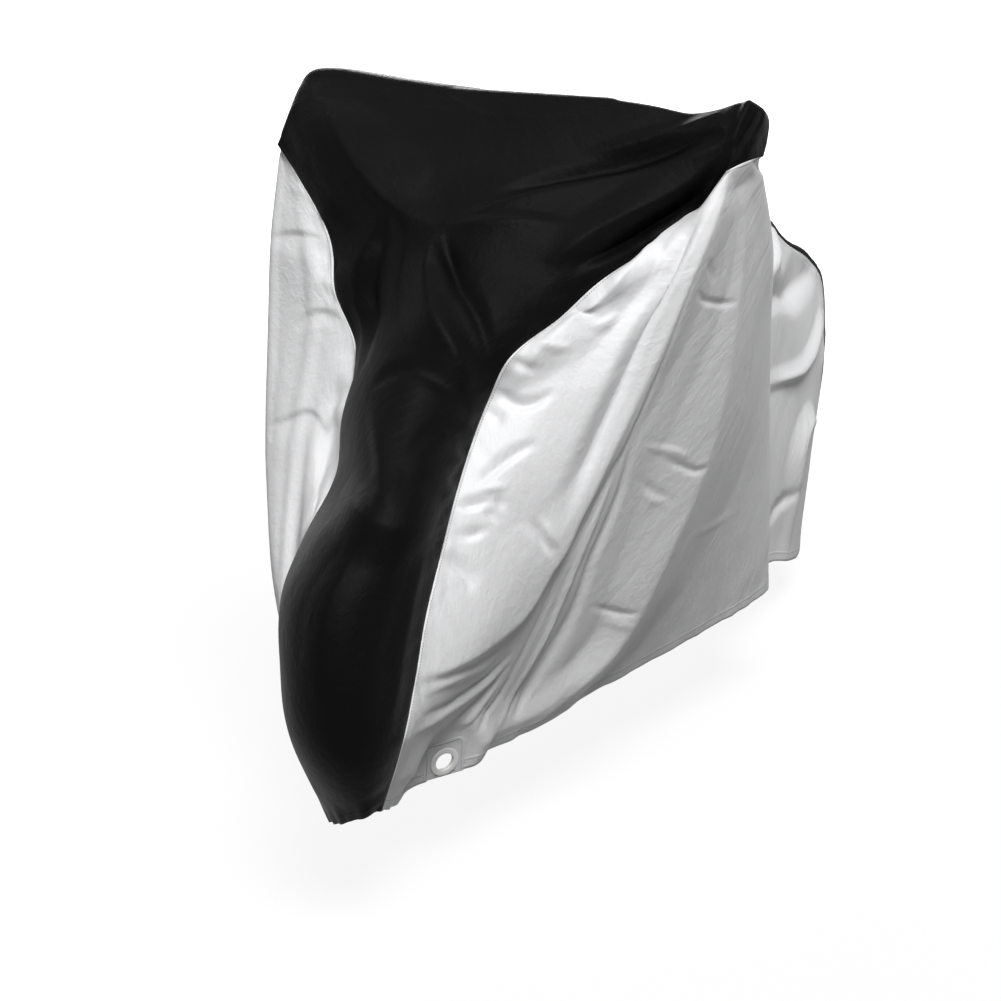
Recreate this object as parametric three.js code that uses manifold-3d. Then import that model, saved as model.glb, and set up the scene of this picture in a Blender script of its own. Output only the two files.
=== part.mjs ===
// Two-tone cover as it hangs over a two-wheeler: a dark centre panel from the front hem over the handlebar
// to the rear hem, a silver panel down each side, and a ringed eyelet in a patch at each front hem corner.
import * as THREE from "three";
import { mergeVertices } from "three/addons/utils/BufferGeometryUtils.js";
import Module from "manifold-3d";

// Driving dimensions, in millimetres.
const halfSpan = 350; // middle plane to a handlebar grip
const coverLength = 1800; // length the "along" fractions are taken of, nose to tail
const coverHeight = 1000; // lowest hem to the top of the handlebar
const sheet = 1.5; // thickness of the coated cloth
const seamGap = 0.3; // between two panels where they are sewn together
const eyeletHole = 28; // diameter
const eyeletRim = 45; // diameter of its flanges
const barrelWall = 2.6; // of the tube between the flanges
const flangeThickness = 2.2;
const flangeRound = 1.1; // rounding of a flange's rim
const holeRound = 0.9; // rounding of the mouth of the hole
const patchWidth = 66;
const patchHeight = 60;
const patchThickness = 2.4;
const patchCorner = 10; // radius of its upper corners
const notchDepth = 30; // of the prism that clears a side panel for its patch
const hemToEyelet = 25; // hem edge to the middle of the eyelet
const eyeletFlat = 48; // radius round an eyelet in which the side panel is flat
const eyeletBlend = 100; // radius at which it is back in its own shape

// The holder touches the underside of the cloth here; the part's origin.
const holderAlong = 0.401;
const holderUp = 0.9947;

// Rows and columns of the cloth grids.
const spanRows = 24; // from a hem to the handlebar
const gripRows = 4; // over the handlebar
const centreColumns = 16;
const columnsPerLine = [4, 4, 4, 3, 3, 2, 3, 2]; // between one line of a side panel and the next
const arcSamples = 120; // along a cross section, to space its columns
const evenSpacing = 0.55; // 1 spaces the columns evenly along the section, 0 by angle
const ringSides = 40;

// How folds fade: shares of the way down, lines from a seam, and columns from a seam.
const foldFadeIn = 0.3;
const foldFadeOut = 0.25;
const foldLossAtHem = 0.4;
const seamFadeLines = 0.6;
const seamFadeColumns = 3;
const flatFadeLines = 0.9;

// Cross sections of the centre panel: left seam, ridge, right seam, squareness of the section.
// Each point is [out, along, up]: fractions of halfSpan, coverLength and coverHeight.
const frontStations = [
  [[0.31, 0.066, 0.113], [0.14, 0.062, 0.083], [-0.115, 0.125, 0.022], 2.0], // front hem
  [[0.395, 0.071, 0.22], [0.18, 0.018, 0.215], [-0.158, 0.09, 0.22], 2.0], // nose foot
  [[0.389, 0.092, 0.3], [0.18, 0.013, 0.31], [-0.208, 0.102, 0.32], 2.0], // nose
  [[0.371, 0.112, 0.37], [0.155, 0.028, 0.4], [-0.27, 0.123, 0.375], 2.0], // nose crown
  [[0.343, 0.143, 0.44], [0.165, 0.062, 0.48], [-0.32, 0.161, 0.42], 2.0], // wheel top
  [[0.317, 0.173, 0.505], [0.165, 0.107, 0.557], [-0.343, 0.211, 0.48], 2.0], // neck foot
  [[0.286, 0.209, 0.565], [0.057, 0.156, 0.632], [-0.371, 0.228, 0.54], 2.0], // neck
  [[0.286, 0.233, 0.613], [0.043, 0.2, 0.698], [-0.372, 0.242, 0.6], 2.0], // collar
  [[0.357, 0.244, 0.677], [0.029, 0.242, 0.757], [-0.414, 0.256, 0.655], 2.0], // collar top
  [[0.457, 0.289, 0.72], [0.023, 0.272, 0.805], [-0.545, 0.267, 0.72], 2.1], // breast
  [[0.571, 0.313, 0.768], [0.014, 0.3, 0.845], [-0.6, 0.281, 0.77], 2.3], // breast top
  [[0.686, 0.372, 0.807], [0, 0.329, 0.886], [-0.671, 0.289, 0.81], 2.6], // yoke
  [[0.786, 0.394, 0.845], [0, 0.354, 0.926], [-0.829, 0.301, 0.864], 3.2], // yoke top
  [[0.914, 0.397, 0.91], [0, 0.379, 0.968], [-0.986, 0.314, 0.907], 4.5], // grip front
];
const gripStations = [
  [[0.95, 0.41, 0.918], [0, 0.392, 0.987], [-1.01, 0.332, 0.913], 8.0], // grip fore
  [[0.972, 0.424, 0.921], [0, 0.401, 0.996], [-1.014, 0.351, 0.92], 9.0], // grip
  [[0.978, 0.438, 0.92], [0, 0.418, 0.99], [-1.006, 0.375, 0.92], 7.0], // grip back
];
const rearStations = [
  [[0.871, 0.475, 0.905], [0, 0.467, 0.96], [-0.886, 0.444, 0.905], 3.5], // behind the bar
  [[0.571, 0.564, 0.865], [0, 0.561, 0.905], [-0.586, 0.55, 0.865], 2.4], // span
  [[0.343, 0.65, 0.838], [0, 0.65, 0.872], [-0.357, 0.647, 0.838], 2.2], // saddle nose
  [[0.251, 0.722, 0.785], [0, 0.717, 0.835], [-0.257, 0.722, 0.788], 2.2], // saddle
  [[0.17, 0.794, 0.682], [0, 0.794, 0.7], [-0.206, 0.794, 0.675], 2.3], // seat back
  [[0.145, 0.861, 0.611], [0, 0.861, 0.622], [-0.2, 0.861, 0.603], 2.5], // rack
  [[0.155, 0.924, 0.562], [0, 0.929, 0.568], [-0.21, 0.926, 0.555], 2.7], // rack end
  [[0.15, 0.961, 0.481], [0, 0.972, 0.49], [-0.171, 0.964, 0.48], 2.3], // tail
  [[0.157, 0.968, 0.34], [0, 0.982, 0.345], [-0.157, 0.972, 0.34], 2.2], // tail middle
  [[0.15, 0.95, 0.17], [0, 0.964, 0.175], [-0.15, 0.961, 0.17], 2.2], // tail foot
  [[0.143, 0.931, -0.005], [0, 0.944, -0.005], [-0.143, 0.939, -0.005], 2.2], // rear hem
];

// Height of the cloth over the handlebar against the table, from the right seam to the left one.
const barShares = [0, 0.12, 0.3, 0.5, 0.68, 0.8, 0.9, 1];
const barLift = [0, 0.018, 0.006, -0.004, -0.014, -0.006, 0.006, 0];
const barReach = 8; // rows before and behind the handlebar over which the lift dies away

// Lines down each side panel from the grip to the hem, given at these shares of the way down.
const shares = [0, 0.2, 0.4, 0.6, 0.8, 1];
const leftLines = [
  [[0.917, 0.401, 0.913], [0.72, 0.342, 0.765], [0.543, 0.271, 0.642], [0.485, 0.214, 0.48], [0.445, 0.162, 0.29],
    [0.215, 0.125, 0.075]], // front flat
  [[0.925, 0.407, 0.915], [0.814, 0.344, 0.755], [0.7, 0.306, 0.605], [0.586, 0.261, 0.445], [0.44, 0.22, 0.265],
    [0.285, 0.194, 0.088]], // main fold
  [[0.95, 0.419, 0.92], [0.905, 0.428, 0.76], [0.834, 0.425, 0.59], [0.734, 0.422, 0.42], [0.586, 0.378, 0.25],
    [0.42, 0.372, 0.091]], // middle fold
  [[0.972, 0.432, 0.921], [0.903, 0.496, 0.765], [0.814, 0.536, 0.604], [0.749, 0.568, 0.45], [0.691, 0.594, 0.28],
    [0.629, 0.621, 0.107]], // drop edge
  [[0.976, 0.435, 0.92], [0.7, 0.55, 0.77], [0.557, 0.617, 0.61], [0.491, 0.65, 0.44], [0.474, 0.667, 0.27],
    [0.423, 0.688, 0.092]], // behind the edge
  [[0.978, 0.436, 0.92], [0.6, 0.572, 0.79], [0.357, 0.683, 0.63], [0.32, 0.744, 0.43], [0.33, 0.767, 0.245],
    [0.31, 0.786, 0.05]], // quarter
  [[0.978, 0.437, 0.92], [0.571, 0.583, 0.82], [0.314, 0.722, 0.685], [0.295, 0.822, 0.475], [0.295, 0.867, 0.25],
    [0.235, 0.88, -0.004]], // rear side
];
const rightLines = [
  [[-0.99, 0.318, 0.908], [-0.74, 0.28, 0.78], [-0.585, 0.253, 0.65], [-0.525, 0.213, 0.49],
    [-0.375, 0.15, 0.27], [-0.2, 0.142, 0.032]], // front flat
  [[-1, 0.322, 0.91], [-0.935, 0.292, 0.782], [-0.85, 0.262, 0.625], [-0.73, 0.22, 0.46],
    [-0.51, 0.17, 0.272], [-0.28, 0.168, 0.042]], // main fold
  [[-1.006, 0.339, 0.916], [-0.963, 0.361, 0.76], [-0.891, 0.367, 0.59], [-0.786, 0.372, 0.42],
    [-0.643, 0.35, 0.24], [-0.471, 0.344, 0.06]], // middle fold
  [[-1.009, 0.361, 0.92], [-0.929, 0.444, 0.762], [-0.846, 0.506, 0.604], [-0.78, 0.544, 0.44],
    [-0.714, 0.572, 0.26], [-0.651, 0.594, 0.07]], // drop edge
  [[-1.009, 0.368, 0.92], [-0.8, 0.506, 0.768], [-0.643, 0.589, 0.61], [-0.543, 0.633, 0.44],
    [-0.509, 0.658, 0.265], [-0.471, 0.678, 0.07]], // behind the edge
  [[-1.006, 0.371, 0.92], [-0.671, 0.539, 0.795], [-0.429, 0.661, 0.635], [-0.357, 0.739, 0.428],
    [-0.343, 0.767, 0.24], [-0.329, 0.789, 0.05]], // quarter
  [[-1.006, 0.373, 0.92], [-0.614, 0.561, 0.825], [-0.337, 0.717, 0.695], [-0.297, 0.822, 0.48],
    [-0.291, 0.872, 0.25], [-0.214, 0.878, 0.008]], // rear side
];

// Folds that run down a side panel. A line number counts the lines above from the front seam, which is 0.
// Columns: line at the grip, line at the hem, height, half width in lines, share where it starts, where it ends.
const sideFolds = [
  [1.4, 1.35, -8, 0.45, 0.05, 0.95],
  [2.0, 1.95, 13, 0.32, 0.0, 1.0],
  [2.42, 2.35, -12, 0.34, 0.02, 1.0],
  [3.0, 2.8, 9, 0.35, 0.1, 1.0],
  [4.0, 4.0, 5, 0.3, 0.1, 1.0],
  [5.4, 5.2, 10, 0.45, 0.15, 1.0],
  [6.1, 5.9, -9, 0.45, 0.25, 1.0],
  [6.9, 6.8, 8, 0.4, 0.4, 1.0],
];

// Folds across the centre panel: from a point, to a point, height, half width.
const centreFolds = [
  [[0.43, 0.31, 0.78], [0.87, 0.415, 0.93], -10, 48], // valley up to the left grip
  [[0.1, 0.29, 0.83], [0.8, 0.4, 0.95], 7, 50], // ridge above it
  [[0.07, 0.255, 0.86], [0.2, 0.24, 0.6], 9, 42], // down from the handlebar stem
  [[-0.2, 0.27, 0.84], [-0.25, 0.24, 0.6], -8, 45], // hollow beside it
  [[-0.3, 0.28, 0.86], [-0.9, 0.33, 0.96], 6, 50], // ridge to the right grip
];

const eyelets = [
  { side: "left", hemLine: 1.68, facing: [0.86, -0.49, -0.15] },
  { side: "right", hemLine: 2.25, facing: [-0.86, -0.49, -0.15] },
];

const wasm = await Module();
wasm.setup();

const place = ([out, along, up]) =>
  new THREE.Vector3(
    out * halfSpan,
    (along - holderAlong) * coverLength,
    (up - holderUp) * coverHeight,
  );
const smoothstep = THREE.MathUtils.smoothstep;

// Value at t of the smooth curve through values at rising knots.
function curve(knots, values, t) {
  const last = knots.length - 1;
  let i = 0;
  while (i < last - 1 && t > knots[i + 1]) i++;
  const slope = (k) => {
    const a = Math.max(k - 1, 0);
    const b = Math.min(k + 1, last);
    return (values[b] - values[a]) / (knots[b] - knots[a]);
  };
  const h = knots[i + 1] - knots[i];
  const s = (t - knots[i]) / h;
  const rise = s * s * (3 - 2 * s);
  return (
    values[i] * (1 - rise) +
    values[i + 1] * rise +
    h * slope(i) * s * (1 - s) * (1 - s) -
    h * slope(i + 1) * s * s * (1 - s)
  );
}
const curvePoint = (knots, points, t) =>
  new THREE.Vector3(...["x", "y", "z"].map((axis) => curve(knots, points.map((p) => p[axis]), t)));

function knotsAlong(paths) {
  const knots = [0];
  for (let i = 1; i < paths[0].length; i++) {
    const step = paths.reduce((sum, path) => sum + path[i].distanceTo(path[i - 1]), 0);
    knots.push(knots[i - 1] + step / paths.length);
  }
  return knots.map((k) => k / knots[knots.length - 1]);
}

// Evenly spaced cross sections between the stations of a table.
function sections(stations, rows) {
  const [left, ridge, right] = [0, 1, 2].map((k) => stations.map((s) => place(s[k])));
  const square = stations.map((s) => s[3]);
  const knots = knotsAlong([left, right]);
  return Array.from({ length: rows + 1 }, (_, i) => {
    const t = i / rows;
    return {
      left: curvePoint(knots, left, t),
      ridge: curvePoint(knots, ridge, t),
      right: curvePoint(knots, right, t),
      square: curve(knots, square, t),
    };
  });
}

const signedPower = (x, e) => Math.sign(x) * Math.abs(x) ** e;

// A section from its right seam over the ridge to its left seam.
function sectionPoint(section, t) {
  const angle = (t - 0.5) * Math.PI;
  const e = 2 / section.square;
  const middle = section.left.clone().lerp(section.right, 0.5);
  return section.left
    .clone()
    .sub(middle)
    .multiplyScalar(signedPower(Math.sin(angle), e))
    .add(section.ridge.clone().sub(middle).multiplyScalar(signedPower(Math.cos(angle), e)))
    .add(middle);
}

// The same section in equal steps of its own length.
function sectionRow(section, columns) {
  const fine = Array.from({ length: arcSamples + 1 }, (_, i) => sectionPoint(section, i / arcSamples));
  const lengths = [0];
  for (let i = 1; i < fine.length; i++) lengths.push(lengths[i - 1] + fine[i].distanceTo(fine[i - 1]));
  const total = lengths[lengths.length - 1];
  return Array.from({ length: columns + 1 }, (_, j) => {
    const even = j / columns;
    const byAngle = lengths[Math.round(even * arcSamples)];
    const want = evenSpacing * even * total + (1 - evenSpacing) * byAngle;
    let i = 1;
    while (i < fine.length - 1 && lengths[i] < want) i++;
    const share = (want - lengths[i - 1]) / Math.max(lengths[i] - lengths[i - 1], 1e-9);
    return fine[i - 1].clone().lerp(fine[i], Math.min(Math.max(share, 0), 1));
  });
}

const gripFirst = frontStations[frontStations.length - 1];
const gripLast = gripStations[gripStations.length - 1];
const frontSections = sections(frontStations, spanRows);
const gripSections = sections([gripFirst, ...gripStations], gripRows);
const rearSections = sections([gripLast, ...rearStations], spanRows);
const centreSections = [...frontSections, ...gripSections.slice(1), ...rearSections.slice(1)];
const centreGrid = centreSections.map((section, row) => {
  const away = Math.abs(row - spanRows - gripRows / 2);
  const lift = coverHeight * (1 - smoothstep(away, 1, barReach));
  const points = sectionRow(section, centreColumns);
  points.forEach((point, j) => (point.z += lift * curve(barShares, barLift, j / centreColumns)));
  return points;
});

// Point at t of a broken line in equal steps.
function onPath(points, t) {
  const at = t * (points.length - 1);
  const i = Math.min(Math.floor(at), points.length - 2);
  return points[i].clone().lerp(points[i + 1], at - i);
}

function gridNormals(grid) {
  const normals = grid.map((row) => row.map(() => new THREE.Vector3()));
  for (let i = 0; i < grid.length - 1; i++)
    for (let j = 0; j < grid[0].length - 1; j++) {
      const across = grid[i + 1][j + 1].clone().sub(grid[i][j]);
      const normal = across.cross(grid[i + 1][j].clone().sub(grid[i][j + 1]));
      for (const [a, b] of [[i, j], [i + 1, j], [i, j + 1], [i + 1, j + 1]]) normals[a][b].add(normal);
    }
  normals.forEach((row) => row.forEach((n) => n.normalize()));
  return normals;
}

function foldHeight(line, down) {
  return sideFolds.reduce((sum, [top, foot, height, width, start, end]) => {
    const away = Math.abs(line - top - (foot - top) * down) / width;
    const loss = foldLossAtHem * smoothstep(down, end - foldFadeOut, end);
    const fade = smoothstep(down, start, start + foldFadeIn) * (1 - loss);
    return away < 1 ? sum + height * fade * (0.5 + 0.5 * Math.cos(Math.PI * away)) : sum;
  }, 0);
}

function creaseHeight(point) {
  return centreFolds.reduce((sum, [from, to, height, width]) => {
    const start = place(from);
    const run = place(to).sub(start);
    const share = THREE.MathUtils.clamp(point.clone().sub(start).dot(run) / run.lengthSq(), 0, 1);
    const away = point.distanceTo(start.addScaledVector(run, share)) / width;
    return away < 1 ? sum + height * (0.5 + 0.5 * Math.cos(Math.PI * away)) : sum;
  }, 0);
}

// A side panel: rows run from the front seam round under the grip to the rear seam, the first row at the grip.
function sideGrid(lines, key, facing) {
  const placed = lines.map((line) => line.map(place));
  const frontSeam = (j) => frontSections[spanRows - j][key];
  const rearSeam = (j) => rearSections[j][key];
  const half = spanRows / 2;
  const knots = knotsAlong([
    [frontSeam(half), ...placed.map((line) => curvePoint(shares, line, 0.5)), rearSeam(half)],
  ]);
  const steps = columnsPerLine.flatMap((count, line) =>
    Array.from({ length: count }, (_, k) => line + k / count),
  );
  steps.push(columnsPerLine.length);
  const grid = [];
  for (let j = 0; j <= spanRows; j++) {
    const points = [frontSeam(j), ...placed.map((line) => curvePoint(shares, line, j / spanRows)), rearSeam(j)];
    grid.push(
      steps.map((line) => {
        const i = Math.min(Math.floor(line), knots.length - 2);
        return curvePoint(knots, points, THREE.MathUtils.lerp(knots[i], knots[i + 1], line - i));
      }),
    );
  }
  const gripPath = gripSections.map((section) => section[key]);
  grid[0] = steps.map((line) => onPath(gripPath, line / columnsPerLine.length));
  const normals = gridNormals(grid);
  grid.forEach((row, j) =>
    row.forEach((point, i) => {
      const fromSeam = Math.min(steps[i], columnsPerLine.length - steps[i]);
      const edge = smoothstep(fromSeam, 0, seamFadeLines);
      point.addScaledVector(normals[j][i], -facing * edge * foldHeight(steps[i], j / spanRows));
    }),
  );
  return { grid, steps };
}

// Where an eyelet sits: x along the hem, y up the cloth, z out of it.
function eyeletFrame({ grid, steps }, { hemLine, facing }) {
  const hem = grid[spanRows];
  const i = steps.findIndex((line) => line >= hemLine);
  const share = (hemLine - steps[i - 1]) / (steps[i] - steps[i - 1]);
  const z = new THREE.Vector3(...facing).normalize();
  const y = hem[i + 2].clone().sub(hem[i - 2]).cross(z).normalize();
  if (y.z < 0) y.negate();
  const x = y.clone().cross(z);
  const centre = hem[i - 1].clone().lerp(hem[i], share).addScaledVector(y, hemToEyelet);
  return { x, y, z, centre };
}
function flattenRound({ grid, steps }, { z, centre }) {
  for (const row of grid)
    row.forEach((point, i) => {
      const from = point.clone().sub(centre);
      const height = from.dot(z);
      const radius = Math.sqrt(Math.max(from.lengthSq() - height * height, 0));
      const near = 1 - smoothstep(radius, eyeletFlat, eyeletBlend);
      const flat = near * smoothstep(steps[i], 0, flatFadeLines);
      point.addScaledVector(z, -height * flat);
    });
}

// Closed sheet of cloth from a grid of points with their normals.
function clothGeometry(grid, normals, facing) {
  const rows = grid.length;
  const columns = grid[0].length;
  const positions = [];
  for (const side of [0.5, -0.5])
    grid.forEach((row, i) =>
      row.forEach((point, j) =>
        positions.push(...point.clone().addScaledVector(normals[i][j], side * sheet).toArray()),
      ),
    );
  const top = (i, j) => i * columns + j;
  const under = (i, j) => rows * columns + top(i, j);
  const faces = [];
  const quad = (a, b, c, d) => faces.push(...(facing > 0 ? [a, b, c, a, c, d] : [a, c, b, a, d, c]));
  for (let i = 0; i < rows - 1; i++)
    for (let j = 0; j < columns - 1; j++) {
      quad(top(i, j), top(i + 1, j), top(i + 1, j + 1), top(i, j + 1));
      quad(under(i, j), under(i, j + 1), under(i + 1, j + 1), under(i + 1, j));
    }
  for (let i = 0; i < rows - 1; i++) {
    quad(top(i, 0), under(i, 0), under(i + 1, 0), top(i + 1, 0));
    quad(top(i + 1, columns - 1), under(i + 1, columns - 1), under(i, columns - 1), top(i, columns - 1));
  }
  for (let j = 0; j < columns - 1; j++) {
    quad(top(0, j + 1), under(0, j + 1), under(0, j), top(0, j));
    quad(top(rows - 1, j), under(rows - 1, j), under(rows - 1, j + 1), top(rows - 1, j + 1));
  }
  const geometry = new THREE.BufferGeometry();
  geometry.setAttribute("position", new THREE.Float32BufferAttribute(positions, 3));
  geometry.setIndex(faces);
  return geometry;
}

// The move that takes an edge point into its own cloth, square to the edge.
function pullIn(point, inner, before, after, amount) {
  const edge = after.clone().sub(before).normalize();
  const inwards = inner.clone().sub(point);
  inwards.addScaledVector(edge, -inwards.dot(edge)).normalize();
  return inwards.multiplyScalar(amount);
}

function toManifold(geometry) {
  const merged = mergeVertices(
    new THREE.BufferGeometry()
      .setAttribute("position", geometry.getAttribute("position"))
      .setIndex(geometry.index),
    1e-4,
  );
  return new wasm.Manifold(
    new wasm.Mesh({
      numProp: 3,
      vertProperties: merged.attributes.position.array,
      triVerts: new Uint32Array(merged.index.array),
    }),
  );
}
function fromManifold(solid) {
  const mesh = solid.getMesh();
  const geometry = new THREE.BufferGeometry();
  geometry.setAttribute("position", new THREE.BufferAttribute(mesh.vertProperties, 3));
  geometry.setIndex(new THREE.BufferAttribute(mesh.triVerts, 1));
  return geometry;
}

function patchShape(grow, foot) {
  const w = patchWidth / 2 + grow;
  const top = patchHeight - hemToEyelet + grow;
  const r = patchCorner + grow;
  const shape = new THREE.Shape();
  shape.moveTo(-w, -foot);
  shape.lineTo(w, -foot);
  shape.lineTo(w, top - r);
  shape.absarc(w - r, top - r, r, 0, Math.PI / 2, false);
  shape.lineTo(-w + r, top);
  shape.absarc(-w + r, top - r, r, Math.PI / 2, Math.PI, false);
  shape.closePath();
  return shape;
}
function slab(shape, thickness, frame) {
  const geometry = new THREE.ExtrudeGeometry(shape, {
    depth: thickness,
    bevelEnabled: false,
    curveSegments: 9,
  });
  geometry.translate(0, 0, -thickness / 2);
  return geometry.applyMatrix4(
    new THREE.Matrix4().makeBasis(frame.x, frame.y, frame.z).setPosition(frame.centre),
  );
}
function ringGeometry(frame) {
  const hole = eyeletHole / 2;
  const barrel = hole + barrelWall;
  const rim = eyeletRim / 2;
  const inner = patchThickness / 2 + seamGap;
  const outer = inner + flangeThickness;
  const profile = [
    [hole, holeRound - outer],
    [hole + holeRound, -outer],
    [rim - flangeRound, -outer],
    [rim, flangeRound - outer],
    [rim, -inner],
    [barrel, -inner],
    [barrel, inner],
    [rim, inner],
    [rim, outer - flangeRound],
    [rim - flangeRound, outer],
    [hole + holeRound, outer],
    [hole, outer - holeRound],
    [hole, holeRound - outer],
  ].map(([r, h]) => new THREE.Vector2(r, h));
  const geometry = new THREE.LatheGeometry(profile, ringSides);
  geometry.rotateX(Math.PI / 2);
  return geometry.applyMatrix4(
    new THREE.Matrix4().makeBasis(frame.x, frame.y, frame.z).setPosition(frame.centre),
  );
}

const materials = {
  black: new THREE.MeshStandardMaterial({ color: 0x151517, roughness: 0.6 }),
  silver: new THREE.MeshStandardMaterial({ color: 0xc3c5c8, roughness: 0.45 }),
  silverPatch: new THREE.MeshStandardMaterial({ color: 0xb4b6ba, roughness: 0.5 }),
  white: new THREE.MeshStandardMaterial({ color: 0xf2f2f0, roughness: 0.35 }),
};
const cover = new THREE.Group();
function addNode(name, geometry, material) {
  const mesh = new THREE.Mesh(geometry, material);
  mesh.name = name;
  cover.add(mesh);
}

// The two side panels are shaped first, so that both sides of a seam share one normal.
const sides = [
  { side: "left", ...sideGrid(leftLines, "left", 1), facing: 1 },
  { side: "right", ...sideGrid(rightLines, "right", -1), facing: -1 },
];
for (const side of sides) {
  side.eyelet = eyelets.find((eyelet) => eyelet.side === side.side);
  side.frame = eyeletFrame(side, side.eyelet);
  flattenRound(side, side.frame);
}
const smoothNormals = gridNormals(centreGrid);
centreGrid.forEach((row, i) =>
  row.forEach((point, j) => {
    const edge = smoothstep(Math.min(j, centreColumns - j), 0, seamFadeColumns);
    point.addScaledVector(smoothNormals[i][j], edge * creaseHeight(point));
  }),
);
const centreNormals = gridNormals(centreGrid);
for (const side of sides) {
  side.normals = gridNormals(side.grid).map((row) => row.map((n) => n.multiplyScalar(-side.facing)));
  const column = side.side === "left" ? centreColumns : 0;
  const last = side.steps.length - 1;
  const share = (row, j, i) => {
    const n = centreNormals[row][column].clone().add(side.normals[j][i]).normalize();
    centreNormals[row][column].copy(n);
    side.normals[j][i].copy(n);
  };
  for (let j = 1; j <= spanRows; j++) {
    share(spanRows - j, j, 0);
    share(spanRows + gripRows + j, j, last);
  }
  const gripNormals = Array.from({ length: gripRows + 1 }, (_, k) => centreNormals[spanRows + k][column]);
  side.normals[0] = side.steps.map((line) => onPath(gripNormals, line / columnsPerLine.length).normalize());
}

// Pull the edges apart by the seam gap.
const pulls = [];
centreGrid.forEach((row, i) => {
  const before = centreGrid[Math.max(i - 1, 0)];
  const after = centreGrid[Math.min(i + 1, centreGrid.length - 1)];
  for (const [edge, inner] of [[0, 1], [centreColumns, centreColumns - 1]])
    pulls.push([row[edge], pullIn(row[edge], row[inner], before[edge], after[edge], seamGap / 2)]);
});
for (const { grid, steps } of sides) {
  const last = steps.length - 1;
  grid.forEach((row, j) => {
    const before = grid[Math.max(j - 1, 0)];
    const after = grid[Math.min(j + 1, spanRows)];
    for (const [edge, inner] of [[0, 1], [last, last - 1]])
      pulls.push([row[edge], pullIn(row[edge], row[inner], before[edge], after[edge], seamGap / 2)]);
  });
  grid[0].forEach((point, i) => {
    const before = grid[0][Math.max(i - 1, 0)];
    const after = grid[0][Math.min(i + 1, last)];
    pulls.push([point, pullIn(point, grid[1][i], before, after, seamGap / 2)]);
  });
}
pulls.forEach(([point, move]) => point.add(move));

addNode("centre_panel", clothGeometry(centreGrid, centreNormals, -1), materials.black);
for (const { side, grid, normals, frame, facing } of sides) {
  const panel = toManifold(clothGeometry(grid, normals, facing));
  const notch = toManifold(slab(patchShape(seamGap, patchHeight), notchDepth, frame));
  addNode("side_panel_" + side, fromManifold(panel.subtract(notch)), materials.silver);
  const patch = patchShape(0, hemToEyelet);
  const barrelHole = eyeletHole / 2 + barrelWall + seamGap;
  patch.holes.push(new THREE.Path().absarc(0, 0, barrelHole, 0, 2 * Math.PI, true));
  addNode("eyelet_patch_" + side, slab(patch, patchThickness, frame), materials.silverPatch);
  addNode("eyelet_ring_" + side, ringGeometry(frame), materials.white);
}

export default cover;
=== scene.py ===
# A two-tone cover hanging over a two-wheeler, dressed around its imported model.
import bpy
import math
import numpy as np
from mathutils import Matrix, Vector


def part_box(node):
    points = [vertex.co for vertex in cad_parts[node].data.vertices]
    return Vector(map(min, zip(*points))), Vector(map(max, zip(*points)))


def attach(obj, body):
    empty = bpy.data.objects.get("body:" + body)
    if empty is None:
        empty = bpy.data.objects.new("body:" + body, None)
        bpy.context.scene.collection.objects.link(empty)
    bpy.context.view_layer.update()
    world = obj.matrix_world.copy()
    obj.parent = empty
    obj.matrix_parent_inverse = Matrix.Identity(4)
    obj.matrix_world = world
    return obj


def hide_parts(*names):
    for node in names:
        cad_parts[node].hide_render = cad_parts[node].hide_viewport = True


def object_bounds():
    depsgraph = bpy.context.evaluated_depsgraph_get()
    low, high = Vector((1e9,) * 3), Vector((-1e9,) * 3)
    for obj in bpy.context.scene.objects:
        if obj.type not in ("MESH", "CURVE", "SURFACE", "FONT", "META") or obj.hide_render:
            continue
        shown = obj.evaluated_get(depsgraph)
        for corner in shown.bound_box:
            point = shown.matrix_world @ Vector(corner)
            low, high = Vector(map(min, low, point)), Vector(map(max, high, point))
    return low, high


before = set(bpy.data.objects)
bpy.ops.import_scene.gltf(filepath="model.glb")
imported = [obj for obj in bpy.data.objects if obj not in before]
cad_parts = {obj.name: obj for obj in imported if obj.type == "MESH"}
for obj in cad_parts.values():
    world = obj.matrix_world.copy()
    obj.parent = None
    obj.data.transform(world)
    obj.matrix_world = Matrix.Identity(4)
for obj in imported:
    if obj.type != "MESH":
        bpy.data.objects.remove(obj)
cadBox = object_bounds()
print("frame loaded")

cover = {
    "hungWidth": 0.7008,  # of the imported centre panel, which sets the scale of all that follows
    "halfSpan": 0.35,
    "length": 1.8,
    "height": 1.0,
    "holderAlong": 0.401,
    "holderUp": 0.9947,
    "thickness": 0.001,
    "seamFlat": 0.01,  # along a seam, where the cloth is too stiff to crease
    "body": "root",
}
panelLow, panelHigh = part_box("centre_panel")
scale = (panelHigh.x - panelLow.x) / cover["hungWidth"]
reach = np.array([cover["halfSpan"], cover["length"], cover["height"]]) * scale
holder = np.array([0, cover["holderAlong"], cover["holderUp"]])

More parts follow.
